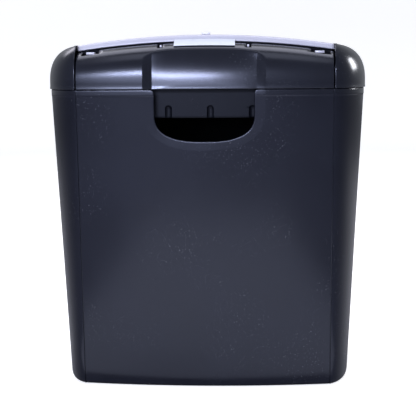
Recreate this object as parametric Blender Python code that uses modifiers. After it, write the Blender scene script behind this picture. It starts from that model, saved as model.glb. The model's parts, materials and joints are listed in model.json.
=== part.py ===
"""Strip-cut paper shredder: a lift-off cutting head that sits on a tapered waste basket.

Frame: metres, +Z up, X to the right seen from the front, the front faces -Y.
The origin is under the middle of the basket, on the surface that it stands on.
"""

import math

import bmesh
import bpy
from mathutils import Vector

# ---------------------------------------------------------------- driving dimensions (metres)
SEAM_HEIGHT = 0.293  # rim of the basket, where the head sits
CROWN_HEIGHT = 0.345  # highest line of the silver top plate
ARCH_RISE = 0.0095  # fall of the top plate from its middle to its ends
SEAM_X = 0.122  # upright joint between the front panel and the rounded ends
SEAM_FLARE = 0.003  # how far that joint moves outward up to the top plate
FRONT_BOW = 0.008  # bulge of the front panel at the middle
BACK_BOW_SHARE = 0.77  # the back panel bulges this much less than the front
WALL = 0.0025  # moulded wall of the casings and the basket
GAP = 0.0003  # clearance between parts that touch
SEAM_GAP = 0.0012  # groove between the cover and each end cap

HEAD_HALF_WIDTH = 0.160
HEAD_HALF_DEPTH = 0.094
HEAD_BOTTOM = SEAM_HEIGHT + 0.0005
HEAD_SHOULDER = 0.299  # height at which the head's walls begin to curve inward
CASE_EXPONENT = 2.3  # superellipse of the front and back profile
CAP_EXPONENT = 2.5  # superellipse of the rounded ends

BASKET_TOP_HALF = (0.1586, 0.0925)  # half width and half depth at the rim
BASKET_FOOT_HALF = (0.1450, 0.0790)
BASKET_FLOOR_ROUND = 0.004

PLATE_HALF_LENGTH = SEAM_X + SEAM_FLARE - GAP
PLATE_HALF_DEPTH = 0.062
PLATE_BOW = 0.006
PLATE_LIP = 0.005
PLATE_THICKNESS = 0.0016
DECK_DROP = PLATE_LIP + 0.0005  # the cover's deck lies this far under the plate's top

# U-shaped grip recess that runs from the head down into the basket
RECESS_DEPTH = 0.0065
GRIP_HALF_WIDTH = 0.0472
GRIP_BOTTOM = 0.244
GRIP_CORNER = 0.026
RECESS_HALF_WIDTH = 0.058
RECESS_BOTTOM = 0.235
RECESS_CORNER = 0.042
RECESS_EXPONENT = 2.6

# Cutting unit
AXIS_Z = 0.296  # height of both cutter axes
AXIS_Y = 0.013  # each cutter axis is this far from the middle plane
ROLLER_ENDS = (-0.117, 0.103)
LAND_RADIUS = 0.014
CORE_RADIUS = 0.009
JOURNAL_RADIUS = 0.005
LAND_COUNT = 16
LAND_CLEARANCE = 0.0001
LEFT_PLATE = (-0.120, -0.118)
RIGHT_PLATE = (0.104, 0.106)
SIDE_PLATE_BOTTOM = 0.2690

# Gear train: teeth and modules, and the planes that the gears turn in
MOTOR_AXIS = (0.0525, 0.2910)
MOTOR_RADIUS = 0.0185
SMALL_PINION = (8, 0.00125)
LARGE_GEAR = (24, 0.00125)
LAST_PINION = (10, 0.00150)
DRIVE_GEAR = (22, 0.00150)
PHASING_GEAR = (13, 0.00200)
PLANE_1 = (0.1070, 0.1105)
PLANE_2 = (0.1113, 0.1158)
PLANE_3 = (0.1166, 0.1221)
PLANE_4 = (0.1229, 0.1294)
PHASING_PLANE = (-0.1285, -0.1215)
AXLE_RADIUS = 0.0025
GEAR_2_DIRECTION = math.radians(20)  # from the first axle to the second

# Head base: the tray that reaches down into the basket
SKIRT_BOTTOM = 0.266
SKIRT_TOP = SEAM_HEIGHT + 0.0003
SKIRT_HALF = (0.147, 0.080)
SKIRT_BOW = 0.005
BASE_WALL = 0.0022
FLANGE_INSET = 0.0033
FLANGE_SEAM = 0.119
OUTLET = (-0.114, 0.100, 0.030)  # left end, right end and half depth of the shred outlet
FLUTE_PITCH = 0.040
FLUTE_RADIUS = 0.003

# Paper throat
SLOT_ENDS = (-0.118, 0.104)
SLOT_TOP_HALF = 0.0055
SLOT_BOTTOM_HALF = 0.0030
THROAT_WALL = 0.0015
THROAT_BOTTOM = 0.313

# Screws
SCREW_HEAD_RADIUS = 0.0033
SCREW_SHANK_RADIUS = 0.0014
POST_RADIUS = 0.0042
COVER_POSTS = [(sx * 0.112, sy * 0.0792) for sx in (-1, 1) for sy in (-1, 1)]
CAP_POSTS = [(-0.1525, 0.0), (0.1525, 0.0)]

# Head cover: columns across it, the top plate's clip windows as (place, half width), and the
# posts that its screws hold
COVER_COLUMNS = (0.0155, GRIP_HALF_WIDTH, RECESS_HALF_WIDTH, 0.080, 0.102, SEAM_X)
CLIP_WINDOWS = ((-0.1095, 0.008), (-0.0415, 0.0026), (0.0415, 0.0026), (0.1095, 0.008))
COVER_POST_TOP = 0.319
CAP_POST_TOP = 0.318
CAP_POST_FOOT = 0.2965
POST_FOOT_LIFT = 0.003  # the posts start this far above the cover's lower edge
PILOT_Z = 0.300
PILOT_LENGTH = 0.020

# Air slots and cord gland in the back
VENT_COUNT = 6
VENT_START = 0.040
VENT_PITCH = 0.007
VENT_HALF_WIDTH = 0.0015
VENT_HEIGHTS = (0.301, 0.316)
GLAND_X = -0.060
GLAND_Z = 0.3045
GLAND_RADIUS = 0.0062

# Slide switch
KNOB_Y = -0.036
KNOB_OPENING = (0.0085, 0.003)  # half length and half width of the opening that its stem slides in

# Safety switch: the shelf in the basket pushes the plunger up into the switch
INTERLOCK_X = -0.090
INTERLOCK_Y = 0.0795
INTERLOCK_SHELF = 0.286
INTERLOCK_TRAVEL = 0.003
INTERLOCK_SWITCH_Z = 0.3060
PLUNGER_HOLE_RADIUS = 0.0027
PLUNGER_RADIUS = 0.0022
PLUNGER_COLLAR_RADIUS = 0.0036
PLUNGER_TIP_RADIUS = 0.0014
PLUNGER_FOOT_RADIUS = 0.0012
COLLAR_HEIGHT = 0.001
SPRING_RADIUS = 0.0024
SPRING_WIRE = 0.00025

# Paper sensor
SENSOR_X = -0.007
SENSOR_PIVOT = (-0.0125, 0.3215)

# Circuit board
BOARD_Z = 0.2755
BOARD_X = (-0.075, 0.015)
BOARD_Y = (-0.0725, -0.0385)
BOARD_POSTS = [(x, y) for x in (BOARD_X[0] + 0.005, BOARD_X[1] - 0.005) for y in (-0.068, -0.043)]
BOARD_POST_RADIUS = 0.003
BOARD_POST_FOOT = SKIRT_BOTTOM + 0.001

# Tie rods as (y, z)
ROD_PLACES = {
    "front_lower_tie_rod": (-0.0315, 0.2755),
    "front_upper_tie_rod": (-0.0315, 0.3180),
    "rear_lower_tie_rod": (0.0300, 0.2755),
    "rear_upper_tie_rod": (0.0300, 0.3180),
}
ROD_RADIUS = 0.003
ROD_END_RADIUS = 0.0018

# Motor, from its flat face to its back
MOTOR_BACK = 0.0400
MOTOR_CAN_WALL = 0.0015
MOTOR_SHAFT_RADIUS = 0.0015
ROTOR_RADIUS = 0.0130
ROTOR_SPAN = (0.056, 0.094)
COMMUTATOR_RADIUS = 0.0060
COMMUTATOR_END = 0.046
SHAFT_END = 0.0325
BELL_BACK = 0.0345
BELL_BOSS_END = 0.0315
BELL_BORE = 0.0020
MOTOR_SCREW_CIRCLE = 0.0115

ROUND_STEPS = 16  # sides of small round parts
PROFILE_STEPS = 7  # steps of the casing's curved profile
END_STEPS = 10  # steps round each end cap

# ---------------------------------------------------------------- scene and helpers
for stale in list(bpy.data.objects):
    bpy.data.objects.remove(stale)

SHREDDER = bpy.data.collections.new("paper_shredder")
CUTTERS = bpy.data.collections.new("cutters")
bpy.context.scene.collection.children.link(SHREDDER)
bpy.context.scene.collection.children.link(CUTTERS)


def make_material(name, colour, roughness, metallic=0.0):
    material = bpy.data.materials.new(name)
    material.use_nodes = True
    shader = material.node_tree.nodes["Principled BSDF"]
    shader.inputs["Base Color"].default_value = (*colour, 1)
    shader.inputs["Roughness"].default_value = roughness
    shader.inputs["Metallic"].default_value = metallic
    return material


BLACK = make_material("black_casing", (0.030, 0.032, 0.042), 0.38)
BLACK_INNER = make_material("black_inner", (0.022, 0.023, 0.028), 0.55)
SILVER = make_material("silver_plate", (0.55, 0.55, 0.62), 0.30, 0.6)
LABEL = make_material("label", (0.80, 0.82, 0.86), 0.35)
KNOB = make_material("knob", (0.75, 0.76, 0.80), 0.25)
STEEL = make_material("steel", (0.45, 0.45, 0.46), 0.35, 1.0)
BRONZE = make_material("bronze", (0.42, 0.27, 0.13), 0.45, 1.0)
NYLON = make_material("nylon", (0.72, 0.70, 0.64), 0.50)
MOTOR_STEEL = make_material("motor_steel", (0.50, 0.50, 0.52), 0.40, 1.0)
BOARD_GREEN = make_material("board", (0.05, 0.20, 0.09), 0.50)
BLUE = make_material("blue_part", (0.06, 0.13, 0.35), 0.45)
RUBBER = make_material("rubber", (0.015, 0.015, 0.015), 0.80)


def add_object(name, mesh, material):
    mesh.name = name
    made = bpy.data.objects.new(name, mesh)
    made.data.materials.clear()
    made.data.materials.append(material)
    SHREDDER.objects.link(made)
    return made


def move_to_cutters(helper):
    """Makes an object a Boolean cutter, which isn't part of the model."""
    for collection in list(helper.users_collection):
        collection.objects.unlink(helper)
    CUTTERS.objects.link(helper)
    helper.hide_render = True
    helper.display_type = "WIRE"
    return helper


def boolean(target, operation, tool):
    modifier = target.modifiers.new(operation.lower(), "BOOLEAN")
    modifier.operation = operation
    modifier.object = tool
    move_to_cutters(tool)


def cut(target, tool):
    boolean(target, "DIFFERENCE", tool)


def join(target, tool):
    boolean(target, "UNION", tool)


def box(name, low, high, material=BLACK_INNER):
    """A box between two corners."""
    bm = bmesh.new()
    bmesh.ops.create_cube(bm, size=1.0)
    size = Vector(high) - Vector(low)
    centre = (Vector(high) + Vector(low)) / 2
    bmesh.ops.scale(bm, vec=size, verts=bm.verts)
    mesh = bpy.data.meshes.new(name)
    bm.to_mesh(mesh)
    bm.free()
    made = add_object(name, mesh, material)
    made.location = centre
    return made


def cylinder(name, centre, axis, radius, length, material=BLACK_INNER, steps=ROUND_STEPS):
    """A cylinder centred on a point, along one axis."""
    bm = bmesh.new()
    bmesh.ops.create_cone(
        bm, cap_ends=True, segments=steps, radius1=radius, radius2=radius, depth=length
    )
    mesh = bpy.data.meshes.new(name)
    bm.to_mesh(mesh)
    bm.free()
    made = add_object(name, mesh, material)
    made.rotation_euler = Vector(axis).to_track_quat("Z", "Y").to_euler()
    made.location = centre
    shade_round(made)
    return made


def shade_round(made, angle=40):
    made.data.shade_smooth()
    made.data.set_sharp_from_angle(angle=math.radians(angle))


def turned(name, profile, location, axis, material, steps=ROUND_STEPS):
    """A turned part. The profile is (radius, height) pairs down its outer side, turned about Z
    and then laid along the axis."""
    mesh = bpy.data.meshes.new(name)
    points = [(radius, 0.0, height) for radius, height in profile]
    edges = [(i, i + 1) for i in range(len(points) - 1)]
    if profile[0][0] > 0 and profile[0] != profile[-1]:
        edges.append((len(points) - 1, 0))
    if profile[0] == profile[-1]:
        points.pop()
        edges[-1] = (len(points) - 1, 0)
    mesh.from_pydata(points, edges, [])
    made = add_object(name, mesh, material)
    screw = made.modifiers.new("turn", "SCREW")
    screw.axis = "Z"
    screw.steps = steps
    screw.render_steps = steps
    screw.use_merge_vertices = True
    screw.merge_threshold = 0.00001
    made.rotation_euler = Vector(axis).to_track_quat("Z", "Y").to_euler()
    made.location = location
    return made


def solid_mesh(curve_object):
    """Replaces a curve object by a mesh object whose caps are welded on."""
    bpy.context.view_layer.update()
    graph = bpy.context.evaluated_depsgraph_get()
    mesh = bpy.data.meshes.new_from_object(curve_object.evaluated_get(graph))
    bm = bmesh.new()
    bm.from_mesh(mesh)
    bmesh.ops.remove_doubles(bm, verts=bm.verts, dist=0.000005)
    bm.to_mesh(mesh)
    bm.free()
    name = curve_object.name
    material = curve_object.data.materials[0]
    matrix = curve_object.matrix_world.copy()
    bpy.data.objects.remove(curve_object)
    made = add_object(name, mesh, material)
    made.matrix_world = matrix
    return made


# Rotation that lays a flat outline's X and Y along world Y and Z, and its thickness along X
UPRIGHT = (math.radians(90), 0.0, math.radians(90))


def flat_part(name, outlines, location, thickness, material, rotation=(0, 0, 0), as_mesh=False):
    """A flat part from closed 2D outlines (the first is the edge, the others are holes), centred
    on its location through its thickness."""
    curve = bpy.data.curves.new(name, "CURVE")
    curve.dimensions = "2D"
    curve.fill_mode = "BOTH"
    curve.extrude = thickness / 2
    for outline in outlines:
        spline = curve.splines.new("POLY")
        spline.points.add(len(outline) - 1)
        for point, (x, y) in zip(spline.points, outline):
            point.co = (x, y, 0, 1)
        spline.use_cyclic_u = True
    curve.materials.append(material)
    made = bpy.data.objects.new(name, curve)
    SHREDDER.objects.link(made)
    made.location = location
    made.rotation_euler = rotation
    return solid_mesh(made) if as_mesh else made


def circle(centre, radius, steps=ROUND_STEPS):
    return [
        (
            centre[0] + radius * math.cos(2 * math.pi * i / steps),
            centre[1] + radius * math.sin(2 * math.pi * i / steps),
        )
        for i in range(steps)
    ]


def surface(name, rows, material, closed, floor=False, thickness=WALL, offset=-1):
    """An open surface through rows of points, given a wall by Solidify. Rows run from the open
    edge; with floor, the last row is filled. The wall grows to the back of the faces."""
    bm = bmesh.new()
    grid = [[bm.verts.new(point) for point in row] for row in rows]
    count = len(rows[0])
    for upper, lower in zip(grid, grid[1:]):
        for i in range(count if closed else count - 1):
            j = (i + 1) % count
            bm.faces.new((upper[i], lower[i], lower[j], upper[j]))
    if floor:
        bm.faces.new(grid[-1][::-1])
    mesh = bpy.data.meshes.new(name)
    bm.to_mesh(mesh)
    bm.free()
    made = add_object(name, mesh, material)
    wall = made.modifiers.new("wall", "SOLIDIFY")
    wall.thickness = thickness
    wall.offset = offset
    wall.use_even_offset = True
    wall.use_quality_normals = True
    made.data.shade_smooth()
    made.data.set_sharp_from_angle(angle=math.radians(35))
    return made


def loft(name, near, far, material):
    """A closed solid between two outlines with the same number of points."""
    bm = bmesh.new()
    a = [bm.verts.new(point) for point in near]
    b = [bm.verts.new(point) for point in far]
    for i in range(len(a)):
        j = (i + 1) % len(a)
        bm.faces.new((a[i], a[j], b[j], b[i]))
    bm.faces.new(a[::-1])
    bm.faces.new(b)
    bmesh.ops.recalc_face_normals(bm, faces=bm.faces)
    mesh = bpy.data.meshes.new(name)
    bm.to_mesh(mesh)
    bm.free()
    return add_object(name, mesh, material)


# ---------------------------------------------------------------- shape rules of the casing
def arch(x):
    """Height of the top plate's upper face above x."""
    return CROWN_HEIGHT - ARCH_RISE * (x / (SEAM_X + SEAM_FLARE)) ** 2


def plan_outline(half_width, half_depth, height, bow=FRONT_BOW, seam=SEAM_X, panel=8, side=8):
    """Closed outline of the body seen from above: bowed front and back panels between the seams,
    and an elliptical end that leaves each seam with the front panel's slope."""
    corner = half_depth - bow
    slope = 2 * bow / seam
    reach = half_width - seam
    shift = reach**2 * slope / (corner - 2 * reach * slope)
    a = reach + shift
    b = math.sqrt(slope * a**2 * corner / shift)
    start = math.asin(min(1.0, corner / b))
    points = []
    for turn, rise in ((1, bow), (-1, bow * BACK_BOW_SHARE)):
        for i in range(panel):
            x = seam * (2 * i / panel - 1)
            points.append((turn * x, -turn * (corner + rise * (1 - (x / seam) ** 2)), height))
        for i in range(side):
            angle = start * math.sin(math.pi / 2 * (2 * i / side - 1))
            x, y = seam - shift + a * math.cos(angle), b * math.sin(angle)
            points.append((turn * x, turn * y, height))
    return points


def u_outline(half_width, bottom, corner, top, steps=12):
    """U-shaped outline as (x, z), whose foot is half a superellipse."""
    points = [(half_width, top)]
    for i in range(steps + 1):
        angle = math.pi * i / steps
        c, s = math.cos(angle), math.sin(angle)
        x = half_width * math.copysign(abs(c) ** (2 / RECESS_EXPONENT), c)
        points.append((x, bottom + corner * (1 - s ** (2 / RECESS_EXPONENT))))
    points.append((-half_width, top))
    return points


def superellipse(angle, exponent):
    """(cosine, sine) raised to the superellipse's power."""
    return math.cos(angle) ** (2 / exponent), math.sin(angle) ** (2 / exponent)


# ---------------------------------------------------------------- waste basket
def basket_half(height):
    share = height / SEAM_HEIGHT
    return [
        foot + (top - foot) * share for foot, top in zip(BASKET_FOOT_HALF, BASKET_TOP_HALF)
    ]


def waste_basket():
    rows = []
    for height, inset in ((SEAM_HEIGHT, 0), (0.150, 0), (BASKET_FLOOR_ROUND, 0), (0, BASKET_FLOOR_ROUND)):
        half_width, half_depth = basket_half(height)
        rows.append(plan_outline(half_width - inset, half_depth - inset, height, seam=SEAM_X - inset))
    basket = surface("waste_basket", rows, BLACK, closed=True, floor=True)
    # Thicker wall behind the grip recess
    pad_rows = []
    for height in (SEAM_HEIGHT - GAP, 0.262, RECESS_BOTTOM - 0.004):
        half_depth = basket_half(height)[1] - WALL / 2
        pad_rows.append(
            [
                (x, -(half_depth - FRONT_BOW * (x / SEAM_X) ** 2), height)
                for x in (-0.062, -0.031, 0.0, 0.031, 0.062)
            ]
        )
    join(basket, surface("recess_pad", pad_rows, BLACK, False, thickness=RECESS_DEPTH + WALL / 2))
    # The recess slopes in from its rim to the edge of the grip opening
    front = -BASKET_TOP_HALF[1]
    outer = u_outline(RECESS_HALF_WIDTH, RECESS_BOTTOM, RECESS_CORNER, SEAM_HEIGHT + 0.01)
    inner = u_outline(GRIP_HALF_WIDTH, GRIP_BOTTOM, GRIP_CORNER, SEAM_HEIGHT + 0.01)
    lean = (BASKET_TOP_HALF[1] - BASKET_FOOT_HALF[1]) / SEAM_HEIGHT

    def at_depth(outline, depth):
        return [(x, front + depth + lean * (SEAM_HEIGHT - z), z) for x, z in outline]

    cut(basket, loft("recess_cutter", at_depth(outer, -0.0006), at_depth(inner, RECESS_DEPTH), BLACK))
    cut(basket, loft("grip_cutter", at_depth(inner, 0.004), at_depth(inner, 0.030), BLACK))
    # Shelf inside the rim that works the safety switch
    shelf = box(
        "interlock_shelf",
        (INTERLOCK_X - 0.006, INTERLOCK_Y - 0.0018, INTERLOCK_SHELF - 0.012),
        (INTERLOCK_X + 0.006, INTERLOCK_Y + 0.0066, INTERLOCK_SHELF),
        BLACK,
    )
    join(basket, shelf)


# ---------------------------------------------------------------- casing of the head
def seam_flare(z):
    """How far the seams have moved outward at a height, as a share of SEAM_X. They follow the
    end caps' profile."""
    top_z = arch(SEAM_X + SEAM_FLARE)
    rise = min(1.0, max(0.0, (z - HEAD_SHOULDER) / (top_z - HEAD_SHOULDER)))
    return SEAM_FLARE / SEAM_X * (1 - (1 - rise**CAP_EXPONENT) ** (1 / CAP_EXPONENT))


def case_profile(x, bow=FRONT_BOW):
    """Points (depth, z) of the cover's front or back at x, from its lower edge to the deck."""
    bottom_y = HEAD_HALF_DEPTH - FRONT_BOW + bow * (1 - (x / SEAM_X) ** 2)
    top_y = PLATE_HALF_DEPTH - PLATE_BOW * (x / SEAM_X) ** 2
    top_z = arch(x * (1 + SEAM_FLARE / SEAM_X)) - DECK_DROP
    points = [(bottom_y, HEAD_BOTTOM)]
    for i in range(PROFILE_STEPS + 1):
        c, s = superellipse(math.pi / 2 * i / PROFILE_STEPS, CASE_EXPONENT)
        points.append((top_y + (bottom_y - top_y) * c, HEAD_SHOULDER + (top_z - HEAD_SHOULDER) * s))
    return points


def recess_at(x, z, top_z):
    """Depth of the grip recess in the cover's front."""
    across = (RECESS_HALF_WIDTH - abs(x)) / (RECESS_HALF_WIDTH - GRIP_HALF_WIDTH)
    across = min(1.0, max(0.0, across))
    up = min(1.0, max(0.0, (top_z - 0.004 - z) / 0.010))
    return RECESS_DEPTH * across * up


def pilot_hole(x, y):
    """Cutter for a screw's hole in a post."""
    return cylinder("pilot", (x, y, PILOT_Z), (0, 0, 1), SCREW_SHANK_RADIUS + GAP, PILOT_LENGTH, steps=8)


def stem_cutter(name):
    """Cutter for the opening that the slide switch's stem moves in."""
    half_length, half_width = KNOB_OPENING
    return box(name, (-half_length, KNOB_Y - half_width, 0.33), (half_length, KNOB_Y + half_width, 0.35))


def slot_cutter(name, bottom):
    """Cutter for the opening that the paper throat stands in."""
    grow = THROAT_WALL + GAP
    low = (SLOT_ENDS[0] - grow, -SLOT_TOP_HALF - grow, bottom)
    return box(name, low, (SLOT_ENDS[1] + grow, SLOT_TOP_HALF + grow, 0.350))


def head_cover():
    columns = [-x for x in reversed(COVER_COLUMNS)] + list(COVER_COLUMNS)
    lines = []
    for x in columns:
        profile = case_profile(x)
        top_z = profile[-1][1]
        line = [(x * (1 + seam_flare(z)), -y + recess_at(x, z, top_z), z) for y, z in profile]
        back_profile = case_profile(x, FRONT_BOW * BACK_BOW_SHARE)
        back = [(px, y, z) for (px, _, _), (y, z) in zip(line, back_profile)]
        lines.append(line + [(line[-1][0], 0.0, top_z)] + back[::-1])
    rows = [[line[i] for line in lines] for i in range(len(lines[0]))]
    cover = surface("head_cover", rows[::-1], BLACK, closed=False)
    post_foot = HEAD_BOTTOM + POST_FOOT_LIFT
    for x, y in COVER_POSTS:
        middle = (x, y, (post_foot + COVER_POST_TOP) / 2)
        length = COVER_POST_TOP - post_foot
        join(cover, cylinder("cover_post", middle, (0, 0, 1), POST_RADIUS, length, BLACK, 10))
    for x, y in COVER_POSTS:
        cut(cover, pilot_hole(x, y))
    cut(cover, slot_cutter("throat_cutter", 0.320))
    cut(cover, stem_cutter("stem_cutter"))
    # Windows for the top plate's clips, just in front of its lip
    for x, half in CLIP_WINDOWS:
        window_y = -(PLATE_HALF_DEPTH - PLATE_BOW * (x / SEAM_X) ** 2)
        low = (x - half, window_y - 0.0042, arch(x) - 0.020)
        cut(cover, box("clip_window", low, (x + half, window_y - 0.0012, arch(x))))
    # Air slots and the cord's hole in the back
    for i in range(VENT_COUNT):
        x = VENT_START + VENT_PITCH * i
        low = (x - VENT_HALF_WIDTH, 0.075, VENT_HEIGHTS[0])
        cut(cover, box("vent_cutter", low, (x + VENT_HALF_WIDTH, 0.100, VENT_HEIGHTS[1])))
    cut(cover, cylinder("cord_hole", (GLAND_X, 0.085, GLAND_Z), (0, 1, 0), GLAND_RADIUS + GAP, 0.040))


def end_cap(name, side):
    rows = []
    seam_top = SEAM_X + SEAM_FLARE + SEAM_GAP
    top_z = arch(seam_top)
    top_half = PLATE_HALF_DEPTH - PLATE_BOW
    corner = HEAD_HALF_DEPTH - FRONT_BOW
    outline = plan_outline(HEAD_HALF_WIDTH, HEAD_HALF_DEPTH, 0.0, panel=2, side=END_STEPS)
    end = [(x, y) for x, y, _ in outline[3 : 2 + END_STEPS]]
    end = [(SEAM_X + SEAM_GAP, -corner), *end, (SEAM_X + SEAM_GAP, corner)]
    rows.append([(x, y, HEAD_BOTTOM) for x, y in end])
    for i in range(PROFILE_STEPS + 1):
        c, s = superellipse(math.pi / 2 * i / PROFILE_STEPS, CAP_EXPONENT)
        row = []
        for k, (x, y) in enumerate(end):
            turn = math.pi * (k / (len(end) - 1) - 0.5)
            inner = (seam_top, top_half * math.sin(turn))
            row.append(
                (
                    inner[0] + (x - inner[0]) * c,
                    inner[1] + (y - inner[1]) * c,
                    HEAD_SHOULDER + (top_z - HEAD_SHOULDER) * s,
                )
            )
        rows.append(row)
    points = [[(side * x, y, z) for x, y, z in row] for row in rows]
    if side > 0:
        points = [row[::-1] for row in points]
    cap = surface(name, points, BLACK, closed=False)
    inner = sorted((side * 0.110, side * (SEAM_X + SEAM_FLARE + 0.0002)))
    cut(cap, box("plate_clearance", (inner[0], -0.070, 0.325), (inner[1], 0.070, 0.345)))
    x, y = CAP_POSTS[0 if side < 0 else 1]
    middle = (x, y, (CAP_POST_TOP + CAP_POST_FOOT) / 2)
    length = CAP_POST_TOP - CAP_POST_FOOT
    join(cap, cylinder("cap_post", middle, (0, 0, 1), POST_RADIUS, length, BLACK, 10))
    cut(cap, pilot_hole(x, y))


def top_plate():
    columns = [PLATE_HALF_LENGTH * (i / 6 - 1) for i in range(13)]

    def row(share, drop):
        """share runs from -1 at the front edge to 1 at the back edge."""
        return [
            (x, share * (PLATE_HALF_DEPTH - PLATE_BOW * (x / PLATE_HALF_LENGTH) ** 2), arch(x) - drop)
            for x in columns
        ]

    rows = [row(-1, PLATE_LIP), row(-1, 0.0012), row(-0.985, 0), row(0, 0)]
    rows += [row(0.985, 0), row(1, 0.0012), row(1, PLATE_LIP)]
    plate = surface("top_plate", rows[::-1], SILVER, closed=False, thickness=PLATE_THICKNESS)
    cut(plate, slot_cutter("plate_slot_cutter", 0.325))
    cut(plate, stem_cutter("plate_stem_cutter"))


def nameplate():
    """Blank plate on the shoulder of the cover, under the middle of the silver lip."""
    columns = [-0.030, -0.015, 0.0, 0.015, 0.030]
    lines = []
    for x in columns:
        bottom_y = HEAD_HALF_DEPTH - FRONT_BOW * (x / SEAM_X) ** 2
        top_y = PLATE_HALF_DEPTH - PLATE_BOW * (x / SEAM_X) ** 2
        top_z = arch(x) - DECK_DROP
        line = []
        for angle in (66, 70, 74, 78):
            c, s = superellipse(math.radians(angle), CASE_EXPONENT)
            y = top_y + (bottom_y - top_y) * c
            z = HEAD_SHOULDER + (top_z - HEAD_SHOULDER) * s
            line.append((x, -y - 0.0003, z + 0.0010))
        lines.append(line)
    rows = [[line[i] for line in lines] for i in range(4)]
    surface("nameplate", rows[::-1], LABEL, closed=False, thickness=0.0006, offset=1)


def paper_throat():
    """Funnel that guides the paper down to the nip of the cutters."""
    low, high = SLOT_ENDS
    columns = [low + (high - low) * i / 6 for i in range(7)]

    def loop(half, grow, height_rule):
        front = [(x, -half, height_rule(x)) for x in columns]
        front[0] = (low - grow, -half, height_rule(low))
        front[-1] = (high + grow, -half, height_rule(high))
        return front + [(x, half, z) for x, _, z in reversed(front)]

    def top(x):
        return arch(x) + 0.0006

    def bottom(_):
        return THROAT_BOTTOM

    loops = [
        loop(SLOT_TOP_HALF, 0, top),
        loop(SLOT_TOP_HALF + THROAT_WALL, THROAT_WALL, top),
        loop(SLOT_BOTTOM_HALF + THROAT_WALL, THROAT_WALL, bottom),
        loop(SLOT_BOTTOM_HALF, 0, bottom),
    ]
    bm = bmesh.new()
    rings = [[bm.verts.new(point) for point in ring] for ring in loops]
    count = len(rings[0])
    for a, b in zip(rings, rings[1:] + rings[:1]):
        for i in range(count):
            j = (i + 1) % count
            bm.faces.new((a[i], a[j], b[j], b[i]))
    bmesh.ops.recalc_face_normals(bm, faces=bm.faces)
    mesh = bpy.data.meshes.new("paper_throat")
    bm.to_mesh(mesh)
    bm.free()
    throat = add_object("paper_throat", mesh, BLACK_INNER)
    window = box(
        "lever_window",
        (SENSOR_X - 0.0026, -0.0085, THROAT_BOTTOM - 0.001),
        (SENSOR_X + 0.0026, SLOT_BOTTOM_HALF + 0.0006, 0.3265),
    )
    cut(throat, window)


# ---------------------------------------------------------------- head base
def head_base():
    flange = plan_outline(
        HEAD_HALF_WIDTH - FLANGE_INSET, HEAD_HALF_DEPTH - FLANGE_INSET, SKIRT_TOP, seam=FLANGE_SEAM
    )
    skirt_seam = SKIRT_HALF[0] - 0.030
    foot_half = [half - 0.001 for half in SKIRT_HALF]
    rows = [
        flange,
        plan_outline(*SKIRT_HALF, SKIRT_TOP, bow=SKIRT_BOW, seam=skirt_seam),
        plan_outline(*foot_half, SKIRT_BOTTOM, bow=SKIRT_BOW, seam=skirt_seam),
    ]
    base = surface("head_base", rows, BLACK_INNER, closed=True, floor=True, thickness=BASE_WALL)
    left, right, half = OUTLET
    low = (left, -half, SKIRT_BOTTOM - 0.01)
    cut(base, box("outlet_cutter", low, (right, half, SKIRT_BOTTOM + 0.01)))
    cut(base, box("recess_clearance", (-0.060, -0.100, 0.280), (0.060, -0.0832, 0.300)))
    for i in range(-2, 3):
        x = FLUTE_PITCH * i + 0.0054
        y = -(SKIRT_HALF[1] + 0.0016 - SKIRT_BOW * (x / skirt_seam) ** 2)
        flute = cylinder("flute_cutter", (x, y, SKIRT_BOTTOM), (0, 0, 1), FLUTE_RADIUS, 0.020, steps=12)
        cut(base, flute)
    for x, y in COVER_POSTS + CAP_POSTS:
        cut(base, cylinder("screw_hole", (x, y, SKIRT_TOP), (0, 0, 1), 0.0020, 0.010, steps=8))
    plunger_place = (INTERLOCK_X, INTERLOCK_Y, SKIRT_TOP)
    cut(base, cylinder("plunger_hole", plunger_place, (0, 0, 1), PLUNGER_HOLE_RADIUS, 0.010))
    # Bracket of the safety switch and posts of the circuit board
    low = (INTERLOCK_X - 0.0105, INTERLOCK_Y - 0.003, SKIRT_TOP + 0.001)
    high = (INTERLOCK_X - 0.0065, INTERLOCK_Y + 0.003, INTERLOCK_SWITCH_Z - GAP)
    join(base, box("switch_bracket", low, high))
    post_top = BOARD_Z - GAP
    for x, y in BOARD_POSTS:
        middle = (x, y, (BOARD_POST_FOOT + post_top) / 2)
        length = post_top - BOARD_POST_FOOT
        join(base, cylinder("board_post", middle, (0, 0, 1), BOARD_POST_RADIUS, length, steps=8))


# ---------------------------------------------------------------- cutting unit
def roller_profile(offset, right_end):
    """(radius, position) pairs of a cutter roller, from its right end to its left end."""
    left, right = ROLLER_ENDS
    pitch = (right - left) / LAND_COUNT
    profile = [(0, right_end), (JOURNAL_RADIUS, right_end), (JOURNAL_RADIUS, right), (CORE_RADIUS, right)]
    for i in range(LAND_COUNT - 1, -1, -1):
        start = left + pitch * i + offset * pitch / 2 + LAND_CLEARANCE
        end = start + pitch / 2 - 2 * LAND_CLEARANCE
        profile += [(CORE_RADIUS, end), (LAND_RADIUS, end), (LAND_RADIUS, start), (CORE_RADIUS, start)]
    profile += [(CORE_RADIUS, left), (JOURNAL_RADIUS, left)]
    profile += [(JOURNAL_RADIUS, PHASING_PLANE[0] - 0.001), (0, PHASING_PLANE[0] - 0.001)]
    return [p for i, p in enumerate(profile) if i == 0 or p != profile[i - 1]]


def cutter_rollers():
    """Each roller turns about its own origin, which lies on its axis. The front roller's lands
    run in the rear roller's grooves."""
    for name, y, offset, right_end in (
        ("front_cutter_roller", -AXIS_Y, 0, RIGHT_PLATE[1] + 0.002),
        ("rear_cutter_roller", AXIS_Y, 1, PLANE_4[1] + 0.001),
    ):
        turned(name, roller_profile(offset, right_end), (0, y, AXIS_Z), (1, 0, 0), STEEL, steps=10)


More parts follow.
